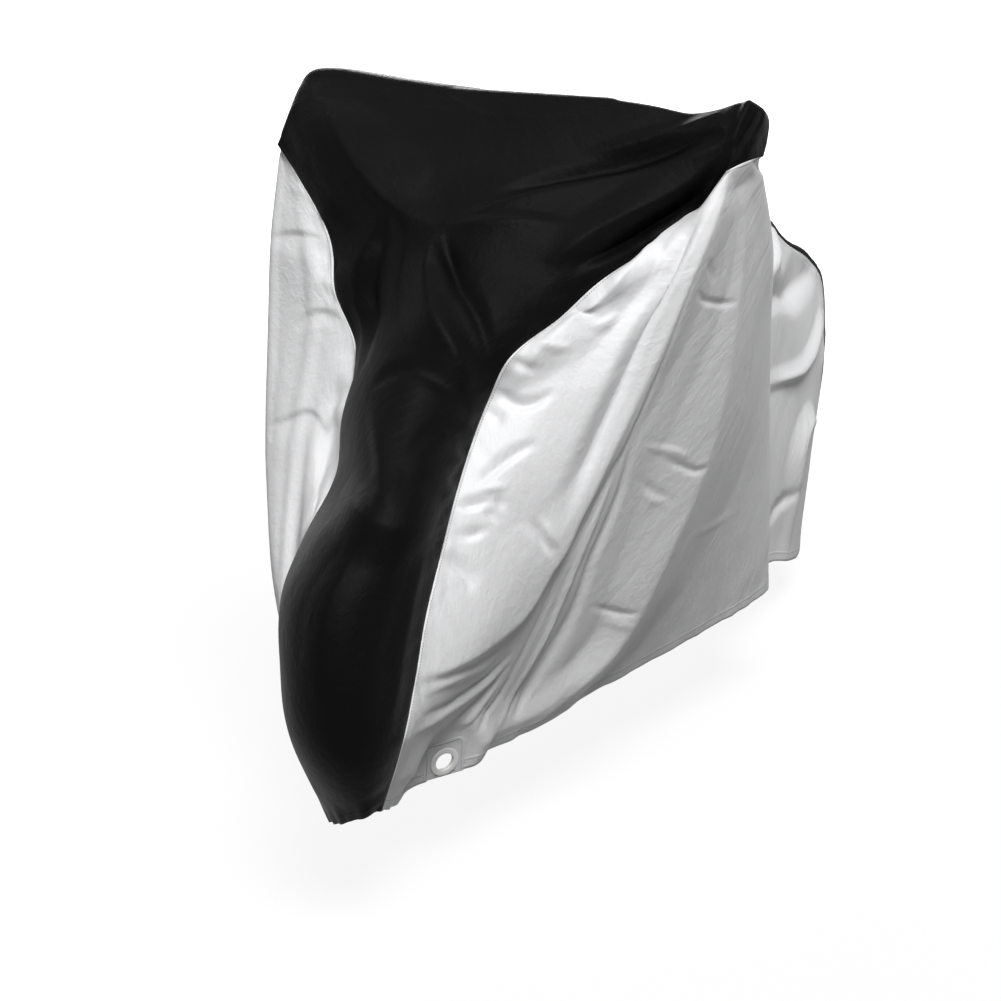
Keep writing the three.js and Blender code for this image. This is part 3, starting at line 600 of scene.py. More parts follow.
# Each side panel's places are its lines, from 0 at the front seam to 8 at the rear one, and shares of
# the way down. Creases and ridges are [seed, lean, width, length, share], with sizes in metres,
# seamPuckers [seed, width, length, peak, end] and hemPuckers [seed, width, length, start, end].
# Folds are [line, down, height, width before, width after], with sizes in mm.
sideCloth = {
    "rows": 220,
    "columns": 222,
    "creases": [[3, 0.3, 0.05, 0.16, 0.5], [4, -0.5, 0.03, 0.09, 0.35]],
    "ridges": [[5, 0.2, 0.035, 0.11, 0.25]],
    "seamPuckers": [6, 0.08, 0.022, 0.012, 0.07],
    "hemPuckers": [7, 0.024, 0.1, 0, 0.06],
}
leftFolds = [
    # main crest from the grip, bending across to the front seam, and what lies in front of it
    [[2.0, 0.02, 0, 12, 20], [2.12, 0.07, 9, 16, 50], [2.17, 0.2, 11, 19, 60], [2.1, 0.38, 10, 18, 50],
        [2.07, 0.5, 10, 22, 26], [2.05, 0.6, 12, 60, 12], [2.02, 0.67, 14, 110, 12],
        [1.81, 0.745, 15, 120, 13], [1.12, 0.79, 12, 110, 13], [0.5, 0.79, 8, 90, 12],
        [0.05, 0.77, 0, 60, 10]],
    [[1.3, 0.08, 0, 14, 8], [1.6, 0.15, -8, 20, 8], [1.78, 0.22, -10, 26, 9], [1.88, 0.34, -10, 28, 9],
        [1.88, 0.48, -8, 26, 10], [1.86, 0.57, -4, 22, 10], [1.82, 0.62, 0, 16, 10]],
    [[0.9, 0.11, 0, 10, 10], [1.2, 0.16, 4, 14, 14], [1.4, 0.22, 5, 18, 18], [1.5, 0.34, 5, 34, 22],
        [1.5, 0.5, 4, 50, 22], [1.42, 0.62, 0, 50, 20]],
    [[0.2, 0.06, 0, 10, 20], [0.3, 0.12, 12, 12, 34], [0.3, 0.2, 17, 14, 44], [0.3, 0.28, 14, 14, 46],
        [0.3, 0.36, 7, 14, 40], [0.3, 0.42, 0, 12, 30]],
    # lines that lie close behind it
    [[2.16, 0.36, 0, 4, 4], [2.15, 0.47, 1.6, 4, 4], [2.1, 0.6, 1.8, 5, 5], [2.08, 0.73, 0, 4, 4]],
    [[2.2, 0.14, 0, 4, 5], [2.21, 0.3, -1.5, 5, 6], [2.2, 0.46, -2.5, 5, 5], [2.17, 0.59, -3, 5, 5],
        [2.14, 0.7, -3, 6, 6], [2.15, 0.78, -3, 6, 6], [2.1, 0.88, -2.5, 6, 6], [2.04, 0.95, 0, 5, 5]],
    [[2.16, 0.44, 0, 6, 6], [2.2, 0.56, 3, 7, 7], [2.24, 0.68, 4.5, 8, 8], [2.3, 0.79, 5, 9, 8],
        [2.27, 0.86, 4.5, 9, 8], [2.16, 0.945, 2, 8, 7]],
    [[2.24, 0.47, 0, 7, 8], [2.32, 0.56, -5, 10, 12], [2.36, 0.68, -6, 11, 16], [2.46, 0.78, -6, 13, 18],
        [2.43, 0.86, -6, 14, 16], [2.3, 0.94, -3, 10, 10]],
    # edge between the forward and the rear half of the panel
    [[2.93, 0.03, 0, 12, 14], [3.03, 0.12, 4, 14, 26], [3.04, 0.26, 8, 30, 100], [3.06, 0.38, 13, 74, 150],
        [3.0, 0.5, 18, 110, 180], [2.95, 0.62, 21, 120, 180], [3.0, 0.76, 22, 100, 160],
        [2.97, 0.85, 23, 74, 110], [2.85, 0.91, 23, 60, 70], [2.56, 0.975, 11, 50, 90], [2.3, 1, 4, 40, 60]],
    [[2.78, 0.9, 0, 30, 30], [2.5, 0.955, 7, 50, 40], [2.2, 0.96, 8, 54, 40], [1.8, 0.955, 10, 66, 40],
        [1.2, 0.95, 10, 76, 40], [0.6, 0.945, 8, 70, 40], [0.2, 0.94, 0, 40, 30]],
    [[2.3, 0.72, 0, 14, 40], [2.36, 0.8, -9, 16, 60], [2.32, 0.87, -11, 18, 64], [2.2, 0.94, 0, 14, 40]],
    [[3.3, 0.28, 0, 8, 10], [3.42, 0.38, 1.6, 10, 12], [3.4, 0.47, 0, 8, 10]],
    # folds that lean to the hem eyelet
    [[1.9, 0.785, 0, 9, 8], [1.5, 0.82, 4.2, 14, 5], [1.19, 0.828, 4.9, 15, 5], [0.7, 0.82, 4.2, 15, 5],
        [0.15, 0.8, 0, 10, 8]],
    [[2.05, 0.81, 0, 6, 6], [1.75, 0.837, -4.9, 4, 10], [1.38, 0.853, -5.7, 5, 10],
        [0.89, 0.858, -5.7, 5, 10], [0.25, 0.84, 0, 7, 7]],
    [[2.08, 0.82, 0, 6, 6], [1.81, 0.848, 4.9, 10, 4], [1.44, 0.866, 5.7, 11, 5], [1.06, 0.874, 5.7, 11, 5],
        [0.6, 0.872, 4.2, 11, 6], [0.15, 0.855, 0, 7, 9]],
    [[2.05, 0.835, 0, 6, 6], [1.88, 0.863, -5.7, 4, 11], [1.56, 0.886, -6.4, 4, 11],
        [1.38, 0.905, -4.2, 4, 11], [1.28, 0.93, 0, 6, 7]],
    [[2.04, 0.862, 0, 6, 6], [1.9, 0.887, 4.2, 8, 4], [1.66, 0.912, 3.5, 8, 4], [1.5, 0.935, 0, 5, 5]],
    [[2.1, 0.86, 0, 5, 5], [2.05, 0.9, -4.9, 4, 8], [1.93, 0.928, -2.9, 3, 7], [1.85, 0.945, 0, 5, 5]],
    # creases from being packed
    [[2.36, 0.21, 0, 5, 5], [2.5, 0.234, -2.3, 6, 7], [2.68, 0.25, -3.1, 6, 7], [2.88, 0.262, -2.7, 6, 6],
        [3.03, 0.264, 0, 5, 5]],
    [[2.33, 0.155, 0, 7, 7], [2.5, 0.186, -2, 8, 8], [2.64, 0.214, 0, 7, 7]],
    [[2.7, 0.16, 0, 7, 7], [2.74, 0.195, -1.4, 8, 8], [2.76, 0.225, 0, 7, 7]],
    [[2.36, 0.49, 0, 5, 5], [2.54, 0.503, 2, 10, 6], [2.68, 0.515, 2.7, 12, 6], [2.82, 0.532, 0, 6, 5]],
    [[2.62, 0.528, 0, 5, 6], [2.78, 0.547, -3, 6, 7], [2.9, 0.562, -3.1, 6, 8], [3.0, 0.556, 0, 5, 6]],
    [[2.42, 0.55, 0, 8, 8], [2.63, 0.584, -1.7, 10, 10], [2.86, 0.62, 0, 8, 8]],
    [[2.5, 0.576, 0, 6, 6], [2.64, 0.6, 1.4, 7, 7], [2.78, 0.604, 0, 6, 6]],
    [[2.6, 0.77, 0, 5, 5], [2.74, 0.788, -2.8, 6, 7], [2.88, 0.805, -3, 6, 7], [3.0, 0.816, 0, 5, 5]],
    [[2.78, 0.81, 0, 7, 7], [2.88, 0.826, 1.9, 8, 8], [2.98, 0.84, 0, 7, 7]],
    [[3.2, 0.7, 0, 10, 10], [3.45, 0.735, 1.2, 12, 12], [3.7, 0.75, 0, 10, 10]],
    [[3.25, 0.45, 0, 8, 8], [3.4, 0.5, 1.2, 9, 9], [3.42, 0.56, 0, 8, 8]],
    # puckers beside the front seam and wrinkles in front of the crest
    [[0.05, 0.392, 0, 6, 6], [0.22, 0.41, -7.1, 6, 14], [0.45, 0.43, -9.1, 6, 15], [0.7, 0.437, -8.1, 6, 14],
        [0.92, 0.418, 0, 6, 6]],
    [[0.05, 0.418, 0, 8, 8], [0.2, 0.44, -6.1, 6, 17], [0.36, 0.46, 0, 8, 8]],
    [[0.25, 0.535, 0, 9, 9], [0.45, 0.526, -6.9, 6, 17], [0.7, 0.514, -6.1, 6, 17], [0.98, 0.5, 0, 8, 8]],
    [[0.3, 0.54, 0, 6, 6], [0.5, 0.55, 4.7, 10, 6], [0.75, 0.562, 0, 6, 6]],
    [[0.04, 0.545, 0, 9, 9], [0.28, 0.566, -7.3, 6, 19], [0.55, 0.57, 0, 9, 9]],
    [[0.45, 0.578, 0, 5, 5], [0.6, 0.597, -4.1, 6, 10], [0.75, 0.615, 0, 5, 5]],
    [[0.58, 0.57, 0, 5, 5], [0.7, 0.585, -4.1, 6, 10], [0.82, 0.6, 0, 5, 5]],
    [[1.32, 0.615, 0, 5, 5], [1.5, 0.63, -5.3, 6, 12], [1.66, 0.643, -5.3, 6, 12], [1.9, 0.655, 0, 5, 5]],
    [[1.5, 0.607, 0, 5, 5], [1.68, 0.625, 4, 8, 6], [1.9, 0.64, 0, 5, 5]],
    [[0.05, 0.62, 0, 10, 12], [0.25, 0.65, -6.5, 6, 24], [0.5, 0.68, -5.3, 6, 24], [0.6, 0.705, 0, 10, 10]],
    [[0.12, 0.595, 0, 9, 9], [0.4, 0.618, -4.9, 6, 17], [0.65, 0.615, 0, 8, 8]],
    [[0.03, 0.315, 0, 6, 6], [0.25, 0.328, 4.3, 10, 6], [0.5, 0.338, 4, 10, 6], [0.75, 0.34, 0, 6, 6]],
    [[0.03, 0.352, 0, 6, 6], [0.24, 0.366, -5.7, 6, 14], [0.5, 0.38, 0, 6, 6]],
    [[0.72, 0.302, 0, 7, 7], [0.88, 0.292, 4.3, 12, 6], [0.98, 0.27, 0, 7, 7]],
    [[0.03, 0.25, 0, 7, 7], [0.3, 0.268, -6.1, 6, 17], [0.62, 0.272, 0, 7, 7]],
    # folds behind the drop edge
    [[7.96, 0.51, 0, 6, 30], [7.8, 0.506, 11, 8, 56], [7.4, 0.498, 14, 8, 56], [7.1, 0.49, 12, 9, 42],
        [6.8, 0.482, 7, 14, 30], [6.3, 0.46, 0, 14, 20]],
    [[7.96, 0.665, 0, 30, 20], [7.88, 0.658, -12, 52, 34], [7.61, 0.62, -21, 60, 38],
        [7.3, 0.582, -22, 50, 36], [7.05, 0.55, -18, 38, 32], [6.8, 0.528, -12, 30, 30],
        [6.3, 0.5, -6, 24, 26], [5.8, 0.48, 0, 20, 20]],
    [[7.9, 0.672, 0, 10, 6], [7.75, 0.715, 12, 18, 8], [7.36, 0.706, 16, 24, 9], [7.0, 0.684, 15, 24, 9],
        [6.7, 0.664, 11, 24, 12], [6.2, 0.64, 6, 24, 20], [5.6, 0.62, 0, 20, 20]],
    [[6.3, 0.642, 0, 5, 5], [6.74, 0.668, 4, 6, 7], [7.07, 0.7, 4, 6, 7], [7.4, 0.725, 0, 5, 5]],
    [[7.5, 0.84, 0, 20, 16], [7.2, 0.797, 12, 32, 20], [6.93, 0.785, 18, 44, 20], [6.74, 0.815, 20, 50, 18],
        [6.66, 0.87, 16, 46, 22], [6.6, 0.93, 10, 40, 30], [6.5, 1, 5, 34, 34]],
    [[5.5, 0.93, 0, 16, 20], [6, 0.905, -4, 18, 26], [6.4, 0.888, -7, 16, 24], [6.72, 0.872, 0, 10, 14]],
    [[4.9, 0.08, 0, 16, 20], [4.75, 0.3, -8, 30, 40], [4.65, 0.55, -12, 40, 60], [4.6, 0.8, -10, 40, 60],
        [4.6, 0.97, -5, 30, 40]],
    [[5.5, 0.1, 0, 16, 16], [5.35, 0.35, 10, 26, 30], [5.2, 0.6, 13, 30, 50], [5.15, 0.85, 9, 30, 40],
        [5.1, 1, 4, 24, 30]],
    [[6.4, 0.12, 0, 14, 14], [6.2, 0.3, 8, 20, 30], [6, 0.5, 9, 24, 36], [5.8, 0.7, 5, 20, 30],
        [5.7, 0.85, 0, 16, 20]],
]
leftPanel = sideCloth | {
    "node": "side_panel_left",
    "ring": "eyelet_ring_left",
    "lines": leftLines,
    "seam": 0,
    "outwards": -1,
    "facing": (0.86, -0.49, -0.15),  # of the eyelet
    "eyeletLine": 1.68,
    "crisp": 0.9,  # share of a fold's section that is a sharp ridge
    "crinkle": 0.8,  # heights in mm
    "pucker": 2.4,
    "flat": (1.15, 1.2),
    "area": 1.105,
    "folds": leftFolds,
}
rightFolds = [
    [[1.8, 0.05, 0, 14, 14], [1.95, 0.3, 8, 18, 18], [2.0, 0.6, 7, 16, 18], [2.0, 0.95, 4, 14, 16]],
    [[0.9, 0.1, 0, 14, 14], [1.0, 0.25, 3, 20, 16], [1.2, 0.45, 4, 20, 16], [1.4, 0.75, 4, 18, 14],
        [1.7, 0.95, 0, 14, 12]],
    [[2.0, 0.215, 0, 6, 14], [1.36, 0.192, -4, 8, 30], [0.9, 0.186, -4, 8, 30], [0.3, 0.182, 0, 6, 16]],
    [[0.3, 0.33, 0, 10, 6], [0.67, 0.337, -3, 18, 8], [1.1, 0.352, -3, 20, 8], [1.5, 0.379, 0, 10, 6]],
    [[1.95, 0.53, 0, 6, 20], [1.43, 0.537, -4, 7, 40], [1.0, 0.53, -4, 7, 40], [0.55, 0.535, 0, 6, 20]],
    # facets and puckers beside the seam
    [[0.05, 0.42, 0, 8, 12], [0.2, 0.455, 4, 10, 22], [0.53, 0.505, 5, 10, 24], [0.8, 0.56, 0, 8, 14]],
    [[0.02, 0.52, 0, 8, 12], [0.2, 0.56, 3, 10, 22], [0.45, 0.615, 3, 10, 22], [0.8, 0.69, 0, 8, 14]],
    [[0.02, 0.585, 0, 6, 8], [0.25, 0.64, 5, 8, 18], [0.55, 0.7, 0, 6, 10]],
    [[0.4, 0.42, 0, 10, 10], [0.46, 0.5, -9, 14, 26], [0.42, 0.57, -12, 14, 30], [0.36, 0.64, -8, 12, 24],
        [0.34, 0.7, 0, 10, 12]],
    [[0.2, 0.72, 0, 10, 10], [0.7, 0.82, -3.5, 12, 12], [1.5, 0.9, 0, 10, 10]],
    # folds that hang from the bar and lean to the hem eyelet
    [[4.6, 0.06, 0, 16, 20], [4.5, 0.25, -9, 26, 40], [4.35, 0.5, -12, 30, 60], [4.2, 0.75, -10, 34, 60],
        [4.1, 0.95, -6, 26, 40]],
    [[5.4, 0.1, 0, 16, 16], [5.2, 0.35, 10, 30, 24], [4.95, 0.62, 13, 50, 26], [4.8, 0.85, 9, 40, 24],
        [4.75, 1, 5, 30, 20]],
    [[6.6, 0.2, 0, 16, 16], [6.3, 0.42, 9, 26, 24], [5.9, 0.66, 12, 40, 24], [5.7, 0.95, 7, 30, 20]],
    [[3.5, 0.72, 0, 10, 8], [3.2, 0.83, 6, 22, 9], [2.8, 0.905, 7, 22, 8], [2.48, 0.945, 0, 10, 6]],
    [[3.1, 0.64, 0, 10, 8], [2.85, 0.77, -6, 8, 20], [2.6, 0.87, -6, 7, 18], [2.38, 0.93, 0, 6, 8]],
    [[2.6, 0.7, 0, 8, 8], [2.5, 0.8, 5, 14, 8], [2.36, 0.88, 5, 12, 7], [2.27, 0.93, 0, 6, 6]],
    [[2.5, 0.1, 0, 12, 12], [2.5, 0.5, -4, 16, 16], [2.4, 0.95, -3, 14, 14]],
    [[7.9, 0.56, 0, 14, 14], [7.5, 0.53, -9, 26, 30], [6.9, 0.5, -12, 30, 36], [6.3, 0.48, -6, 26, 26],
        [5.8, 0.47, 0, 16, 16]],
    [[7.9, 0.7, 0, 12, 10], [7.4, 0.68, 10, 24, 12], [6.8, 0.67, 12, 30, 14], [6.2, 0.69, 7, 26, 20],
        [5.7, 0.73, 0, 16, 16]],
    [[7.7, 0.86, 0, 12, 12], [7, 0.84, -7, 16, 24], [6.4, 0.85, -8, 16, 26], [5.8, 0.88, 0, 12, 16]],
]
rightPanel = sideCloth | {
    "node": "side_panel_right",
    "ring": "eyelet_ring_right",
    "lines": rightLines,
    "seam": 2,
    "outwards": 1,
    "facing": (-0.86, -0.49, -0.15),
    "eyeletLine": 2.25,
    "crisp": 0.7,
    "crinkle": 0.9,
    "pucker": 1.8,
    "flat": (1.25, 1.2),
    "area": 1.188,
    "folds": rightFolds,
}
# Between the lines that hang from the grip, the creases are the left panel's, a little fainter.
for fold in leftFolds:
    if 2.2 < min(row[0] for row in fold) < 4.5:
        lower = [[line, down, 0.8 * height, before, after] for line, down, height, before, after in fold]
        rightFolds.append(lower)

eyelet = {
    "hole": 0.028,
    "rim": 0.045,
    "barrelWall": 0.0026,
    "flange": 0.0022,
    "rounding": 0.0009,
    "patchWidth": 0.066,
    "patchTop": 0.035,
    "patchFoot": 0.025,
    "patchCorner": 0.01,
    "patchThickness": 0.0018,
    "patchFlat": (0.066, 0.06),
    "patchArea": 0.0031,
    "patchSpokes": 96,
    "patchRings": 14,
    "patchSway": 0.0004,
    "swayCell": 0.02,
    "swayRadii": (0.022, 0.03),
    "overlap": 0.005,  # of the cloth under the patch
    "reachOut": 0.03,
    "flatRadius": 0.048,
    "blendRadius": 0.1,
    "reliefRadii": (0.046, 0.075),  # over which the folds begin
    "ringSteps": 64,
}


def eyeletSeat(grid, line, look):
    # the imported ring's centre, with the ways along the hem, up the cloth and out of it
    low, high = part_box(look["ring"])
    centre = np.array((low + high) / 2)
    z = np.array(look["facing"]) / np.linalg.norm(look["facing"])
    near, far = (
        np.array([np.interp(look["eyeletLine"] + side, line, grid[-1, :, k]) for k in range(3)])
        for side in (-0.5, 0.5)
    )
    y = np.cross(far - near, z)
    y *= np.sign(y[2]) / np.linalg.norm(y)
    return centre, np.cross(y, z), y, z


def underPatch(grid, seat):
    # the cells that the patch stands for
    centre, x, y, z = seat
    middle = (grid[:-1, :-1] + grid[1:, 1:]) / 2 - centre
    half = eyelet["patchWidth"] / 2 - eyelet["overlap"]
    top = eyelet["patchTop"] - eyelet["overlap"]
    return (np.abs(middle @ x) < half) & (middle @ y < top) & (np.abs(middle @ z) < eyelet["reachOut"])


def sidePanel(look):
    grid, line, down = sideSurface(look["lines"], look["seam"], look["rows"], look["columns"])
    seat = eyeletSeat(grid, line, look)
    centre, x, y, z = seat
    out = (grid - centre) @ z
    radius = np.sqrt(np.maximum(((grid - centre) ** 2).sum(axis=2) - out**2, 0))
    flatter = 1 - smooth(radius, eyelet["flatRadius"], eyelet["blendRadius"])
    flatter *= smooth(line, 0, 0.9)  # the front seam stays where it is
    grid = grid - (flatter * out)[..., None] * z
    across, along = flatSizes(grid)
    fromSeam = np.minimum(np.minimum(across, across[:, -1:] - across), along)
    fromHem = along[-1] - along
    relief = foldRelief(look, grid, line, down) + crumpleRelief(look, across, along, fromSeam, fromHem)
    relief *= smooth(fromSeam, 0, cover["seamFlat"]) * smooth(radius, *eyelet["reliefRadii"])
    grid = grid + relief[..., None] * normals(grid, look["outwards"])
    name = look["node"].replace("_panel", "_cloth")
    piece = clothPiece(name, grid, (across, along), (fromSeam, fromHem), ~underPatch(grid, seat))
    if look["outwards"] < 0:
        piece.data.flip_normals()
    thicken(piece, cover["thickness"])
    finish(piece, look["node"], silver)
    print(look["node"], "made")
    return seat


leftSeat = sidePanel(leftPanel)
rightSeat = sidePanel(rightPanel)

# The centre panel's places are shares of the way across it, and packed rows from the front hem.
centreFolds = [
    # diagonals from the shoulders to the middle of the breast
    [[0.13, 25, 0, 30, 20], [0.16, 22.6, 13, 70, 50], [0.21, 20.9, 18, 90, 60], [0.3, 19.1, 16, 80, 50],
        [0.44, 18.4, 0, 40, 20]],
    [[0.47, 18.6, 0, 14, 30], [0.56, 19.5, 11, 22, 60], [0.66, 20.6, 15, 26, 70], [0.78, 22.1, 15, 24, 60],
        [0.9, 23.3, 9.1, 16, 40], [0.94, 24.2, 0, 10, 20]],
    [[0.52, 20.1, 0, 10, 10], [0.6, 21, -7.3, 18, 14], [0.7, 22.1, -9.1, 20, 16], [0.8, 23.1, -9.1, 18, 14],
        [0.9, 24, 0, 10, 10]],
    [[0.62, 22.6, 0, 12, 12], [0.69, 23.5, 7.3, 20, 14], [0.77, 24.6, 7.3, 18, 12], [0.82, 25.6, 0, 12, 10]],
    # the roll under the left grip and the hollow below it
    [[0.8, 17.9, 0, 20, 14], [0.84, 19.2, 15, 40, 26], [0.89, 20.9, 20, 44, 28], [0.92, 22.4, 16, 36, 24],
        [0.94, 23.6, 0, 20, 14]],
    [[0.88, 18.2, 0, 12, 10], [0.93, 19.6, -15, 18, 14], [0.955, 21.4, -15, 16, 12], [0.96, 22.8, 0, 10, 8]],
    # the flat below the breast, with the sliver beside it
    [[0.44, 18.4, 0, 12, 20], [0.5, 18.45, 11, 16, 60], [0.58, 18.6, 15, 18, 80], [0.68, 19, 11, 18, 70],
        [0.78, 19.4, 0, 14, 30]],
    [[0.46, 18.3, 0, 10, 20], [0.45, 17.5, 15, 24, 40], [0.465, 16.3, 20, 30, 50], [0.54, 15.1, 20, 32, 50],
        [0.68, 14.4, 16, 30, 40], [0.86, 13.9, 0, 14, 20]],
    [[0.46, 18.1, 0, 8, 8], [0.51, 17, -8, 22, 10], [0.6, 15.9, -11, 26, 12], [0.73, 15.3, -10, 22, 12],
        [0.88, 14.8, 0, 8, 8]],
    [[0.3, 18.9, 0, 20, 16], [0.24, 17.5, -15, 50, 26], [0.17, 16.1, -16, 50, 26], [0.2, 14.8, -9.1, 36, 22],
        [0.28, 13.6, 0, 20, 16]],
    # the bulge at the neck and its folds
    [[0.42, 13.1, 0, 10, 14], [0.5, 13.5, -6.5, 22, 12], [0.62, 13.6, -7.8, 26, 12],
        [0.76, 13.5, -6.5, 22, 12], [0.9, 13.4, 0, 10, 8]],
    [[0.66, 11.8, 0, 8, 8], [0.72, 12.3, -5.2, 12, 10], [0.82, 12.75, -6.5, 12, 10], [0.96, 13, 0, 8, 8]],
    [[0.42, 11.2, 0, 50, 30], [0.52, 10.3, 10, 100, 50], [0.64, 9.9, 16, 110, 60], [0.76, 9.9, 13, 90, 50],
        [0.9, 10.3, 0, 40, 24]],
    [[0.46, 12.9, 0, 14, 14], [0.55, 12, 5.2, 26, 18], [0.6, 11.2, 5.2, 26, 18], [0.66, 10.2, 0, 16, 14]],
    # long soft folds over the wheel
    [[0.6, 9.2, 0, 24, 20], [0.57, 8, 6.5, 50, 36], [0.56, 6.8, 5.2, 50, 36], [0.55, 5.4, 0, 30, 24]],
    [[0.84, 9.8, 0, 14, 16], [0.87, 7.7, 4, 24, 26], [0.87, 5.8, 3, 24, 26], [0.86, 3.8, 0, 14, 14]],
    # pleat at the end of the bar
    [[0.87, 27.2, 0, 5, 5], [0.885, 25.6, 7, 8, 9], [0.91, 24.5, 7, 8, 9], [0.95, 23.8, 0, 5, 5]],
    [[0.9, 27.4, 0, 5, 5], [0.92, 25.8, -6, 9, 8], [0.945, 24.6, -5, 8, 7], [0.97, 24, 0, 4, 4]],
    # puckers at the left seam
    [[0.85, 12.8, 0, 5, 5], [0.92, 12.95, 3, 6, 6], [0.985, 13.1, 0, 4, 4]],
    [[0.88, 12.35, 0, 5, 5], [0.93, 12.45, -3, 6, 6], [0.985, 12.6, 0, 4, 4]],
    [[0.84, 11.9, 0, 5, 5], [0.92, 12.1, 3.5, 6, 6], [0.985, 12.3, 0, 4, 4]],
    [[0.87, 11.5, 0, 5, 5], [0.93, 11.65, -3, 6, 6], [0.985, 11.8, 0, 4, 4]],
    [[0.85, 11, 0, 5, 5], [0.92, 11.2, 3, 7, 6], [0.985, 11.35, 0, 4, 4]],
    [[0.88, 10.5, 0, 5, 5], [0.93, 10.65, -3, 6, 7], [0.985, 10.8, 0, 4, 4]],
    [[0.86, 10, 0, 5, 5], [0.92, 10.2, 3, 7, 7], [0.985, 10.3, 0, 4, 4]],
    [[0.89, 9.4, 0, 5, 5], [0.93, 9.5, -3, 7, 7], [0.985, 9.6, 0, 4, 4]],
    # behind the bar
    [[0.3, 30, 0, 14, 14], [0.35, 34, -4, 20, 20], [0.4, 40, 0, 14, 14]],
    [[0.7, 31, 0, 14, 14], [0.65, 34, -4, 18, 18], [0.7, 38, 0, 14, 14]],
]
centrePanel = {
    "node": "centre_panel",
    "outwards": 1,
    "rows": (190, 36, 124),
    "columns": 138,
    "creases": [[13, 0.3, 0.05, 0.12, 0.5], [14, -0.6, 0.03, 0.07, 0.4]],
    "ridges": [],
    "seamPuckers": [16, 0.08, 0.02, 0.012, 0.06],
    "hemPuckers": [17, 0.02, 0.1, 0.01, 0.07],
    "crisp": 1.0,
    "crinkle": 0.9,
    "pucker": 2.6,
    "flat": (0.72, 2.0),
    "area": 0.972,
    "folds": centreFolds,
}


def middlePanel(look):
    grid, row, even = centreSurface(look["rows"], look["columns"])
    across, along = flatSizes(grid)
    fromSeam = np.minimum(across, across[:, -1:] - across)
    fromHem = np.minimum(along, along[-1:] - along)
    relief = foldRelief(look, grid, even, row) + crumpleRelief(look, across, along, fromSeam, fromHem)
    relief *= smooth(fromSeam, 0, cover["seamFlat"])
    grid = grid + relief[..., None] * normals(grid, look["outwards"])
    piece = clothPiece("centre_cloth", grid, (across, along), (fromSeam, fromHem))
    thicken(piece, cover["thickness"])
    finish(piece, look["node"], black)
    print(look["node"], "made")


middlePanel(centrePanel)


def patchRim(ways):
    # the patch's outline in each way from the hole, with its upper corners rounded
    half, top, corner = eyelet["patchWidth"] / 2, eyelet["patchTop"], eyelet["patchCorner"]
    rim = []
    for way in ways:
        height = top if way[1] > 0 else eyelet["patchFoot"]
        end = way * min(half / max(abs(way[0]), 1e-9), height / max(abs(way[1]), 1e-9))
        if end[1] > top - corner and abs(end[0]) > half - corner:
            pin = np.array([math.copysign(half - corner, way[0]), top - corner])
            end = way * (way @ pin + math.sqrt(corner**2 - pin @ pin + (way @ pin) ** 2))
        rim.append(end)
    return np.array(rim)


def mergeDoubles():
    bpy.ops.mesh.select_all(action="SELECT")
    bpy.ops.mesh.remove_doubles(threshold=1e-6)
    bpy.ops.mesh.select_all(action="SELECT")


def patchPiece(side, seat):
    centre, x, y, z = seat
    turns = np.linspace(0, 2 * math.pi, eyelet["patchSpokes"] + 1)
    ways = np.stack([np.cos(turns), np.sin(turns)], -1)
    ways[-1] = ways[0]
    start = (eyelet["hole"] / 2 + eyelet["barrelWall"] * 0.6) * ways  # inside the ring's barrel
    rim = patchRim(ways)
    flat = start + (rim - start) * np.linspace(0, 1, eyelet["patchRings"] + 1)[:, None, None]
    u, v = flat[..., 0], flat[..., 1]
    fromEdge = np.linalg.norm(rim - flat, axis=2)
    sway = eyelet["patchSway"] * noise(21, u / eyelet["swayCell"], v / eyelet["swayCell"])
    sway *= smooth(np.hypot(u, v), *eyelet["swayRadii"])
    grid = centre + u[..., None] * x + v[..., None] * y + sway[..., None] * z
    piece = clothPiece("eyelet_cloth_" + side, grid, (u, v), (fromEdge, np.full(u.shape, 0.5)))
    select(piece)
    bpy.ops.object.mode_set(mode="EDIT")
    mergeDoubles()
    bpy.ops.object.mode_set(mode="OBJECT")
    thicken(piece, eyelet["patchThickness"])
    finish(piece, "eyelet_patch_" + side, patchSilver)
    under = ["side_cloth_" + side]


ringLook = {
    "colour": (0.86, 0.86, 0.85, 1),
    "aged": (0.74, 0.73, 0.7, 1),
    "roughness": (0.3, 0.42),
    "agedPatches": (0.4, 0.75),
    "agedShare": 0.5,
    "scuffPatches": (0.62, 0.7),
    "scuffShare": 0.25,
    "scuffRoughness": 0.12,
    "scuffDepth": 0.03,  # in mm
    "grainHeight": 0.04,
}


def ringMaterial(look):
    material, wire = newMaterial("ringPlastic")
    place = wire.node("TexCoord", {}, {}, "Object")
    fine, broad = wire.noise(place, 900, 3), wire.noise(place, 90, 3)
    scuffs = wire.noise(wire.stretched(place, (1, 1, 6), 0.6), 260, 4).step(*look["scuffPatches"])
    colour = wire.mix(broad.step(*look["agedPatches"]) * look["agedShare"], look["colour"], look["aged"])
    colour = wire.mix(scuffs * look["scuffShare"], colour, look["aged"])
    smoothest, roughest = look["roughness"]
    roughness = fine * (roughest - smoothest) + smoothest + scuffs * look["scuffRoughness"]
    height = fine * look["grainHeight"] - scuffs * look["scuffDepth"]
    surface(wire, {"Base Color": colour, "Roughness": roughness}, height)
    return material


ringPlastic = ringMaterial(ringLook)


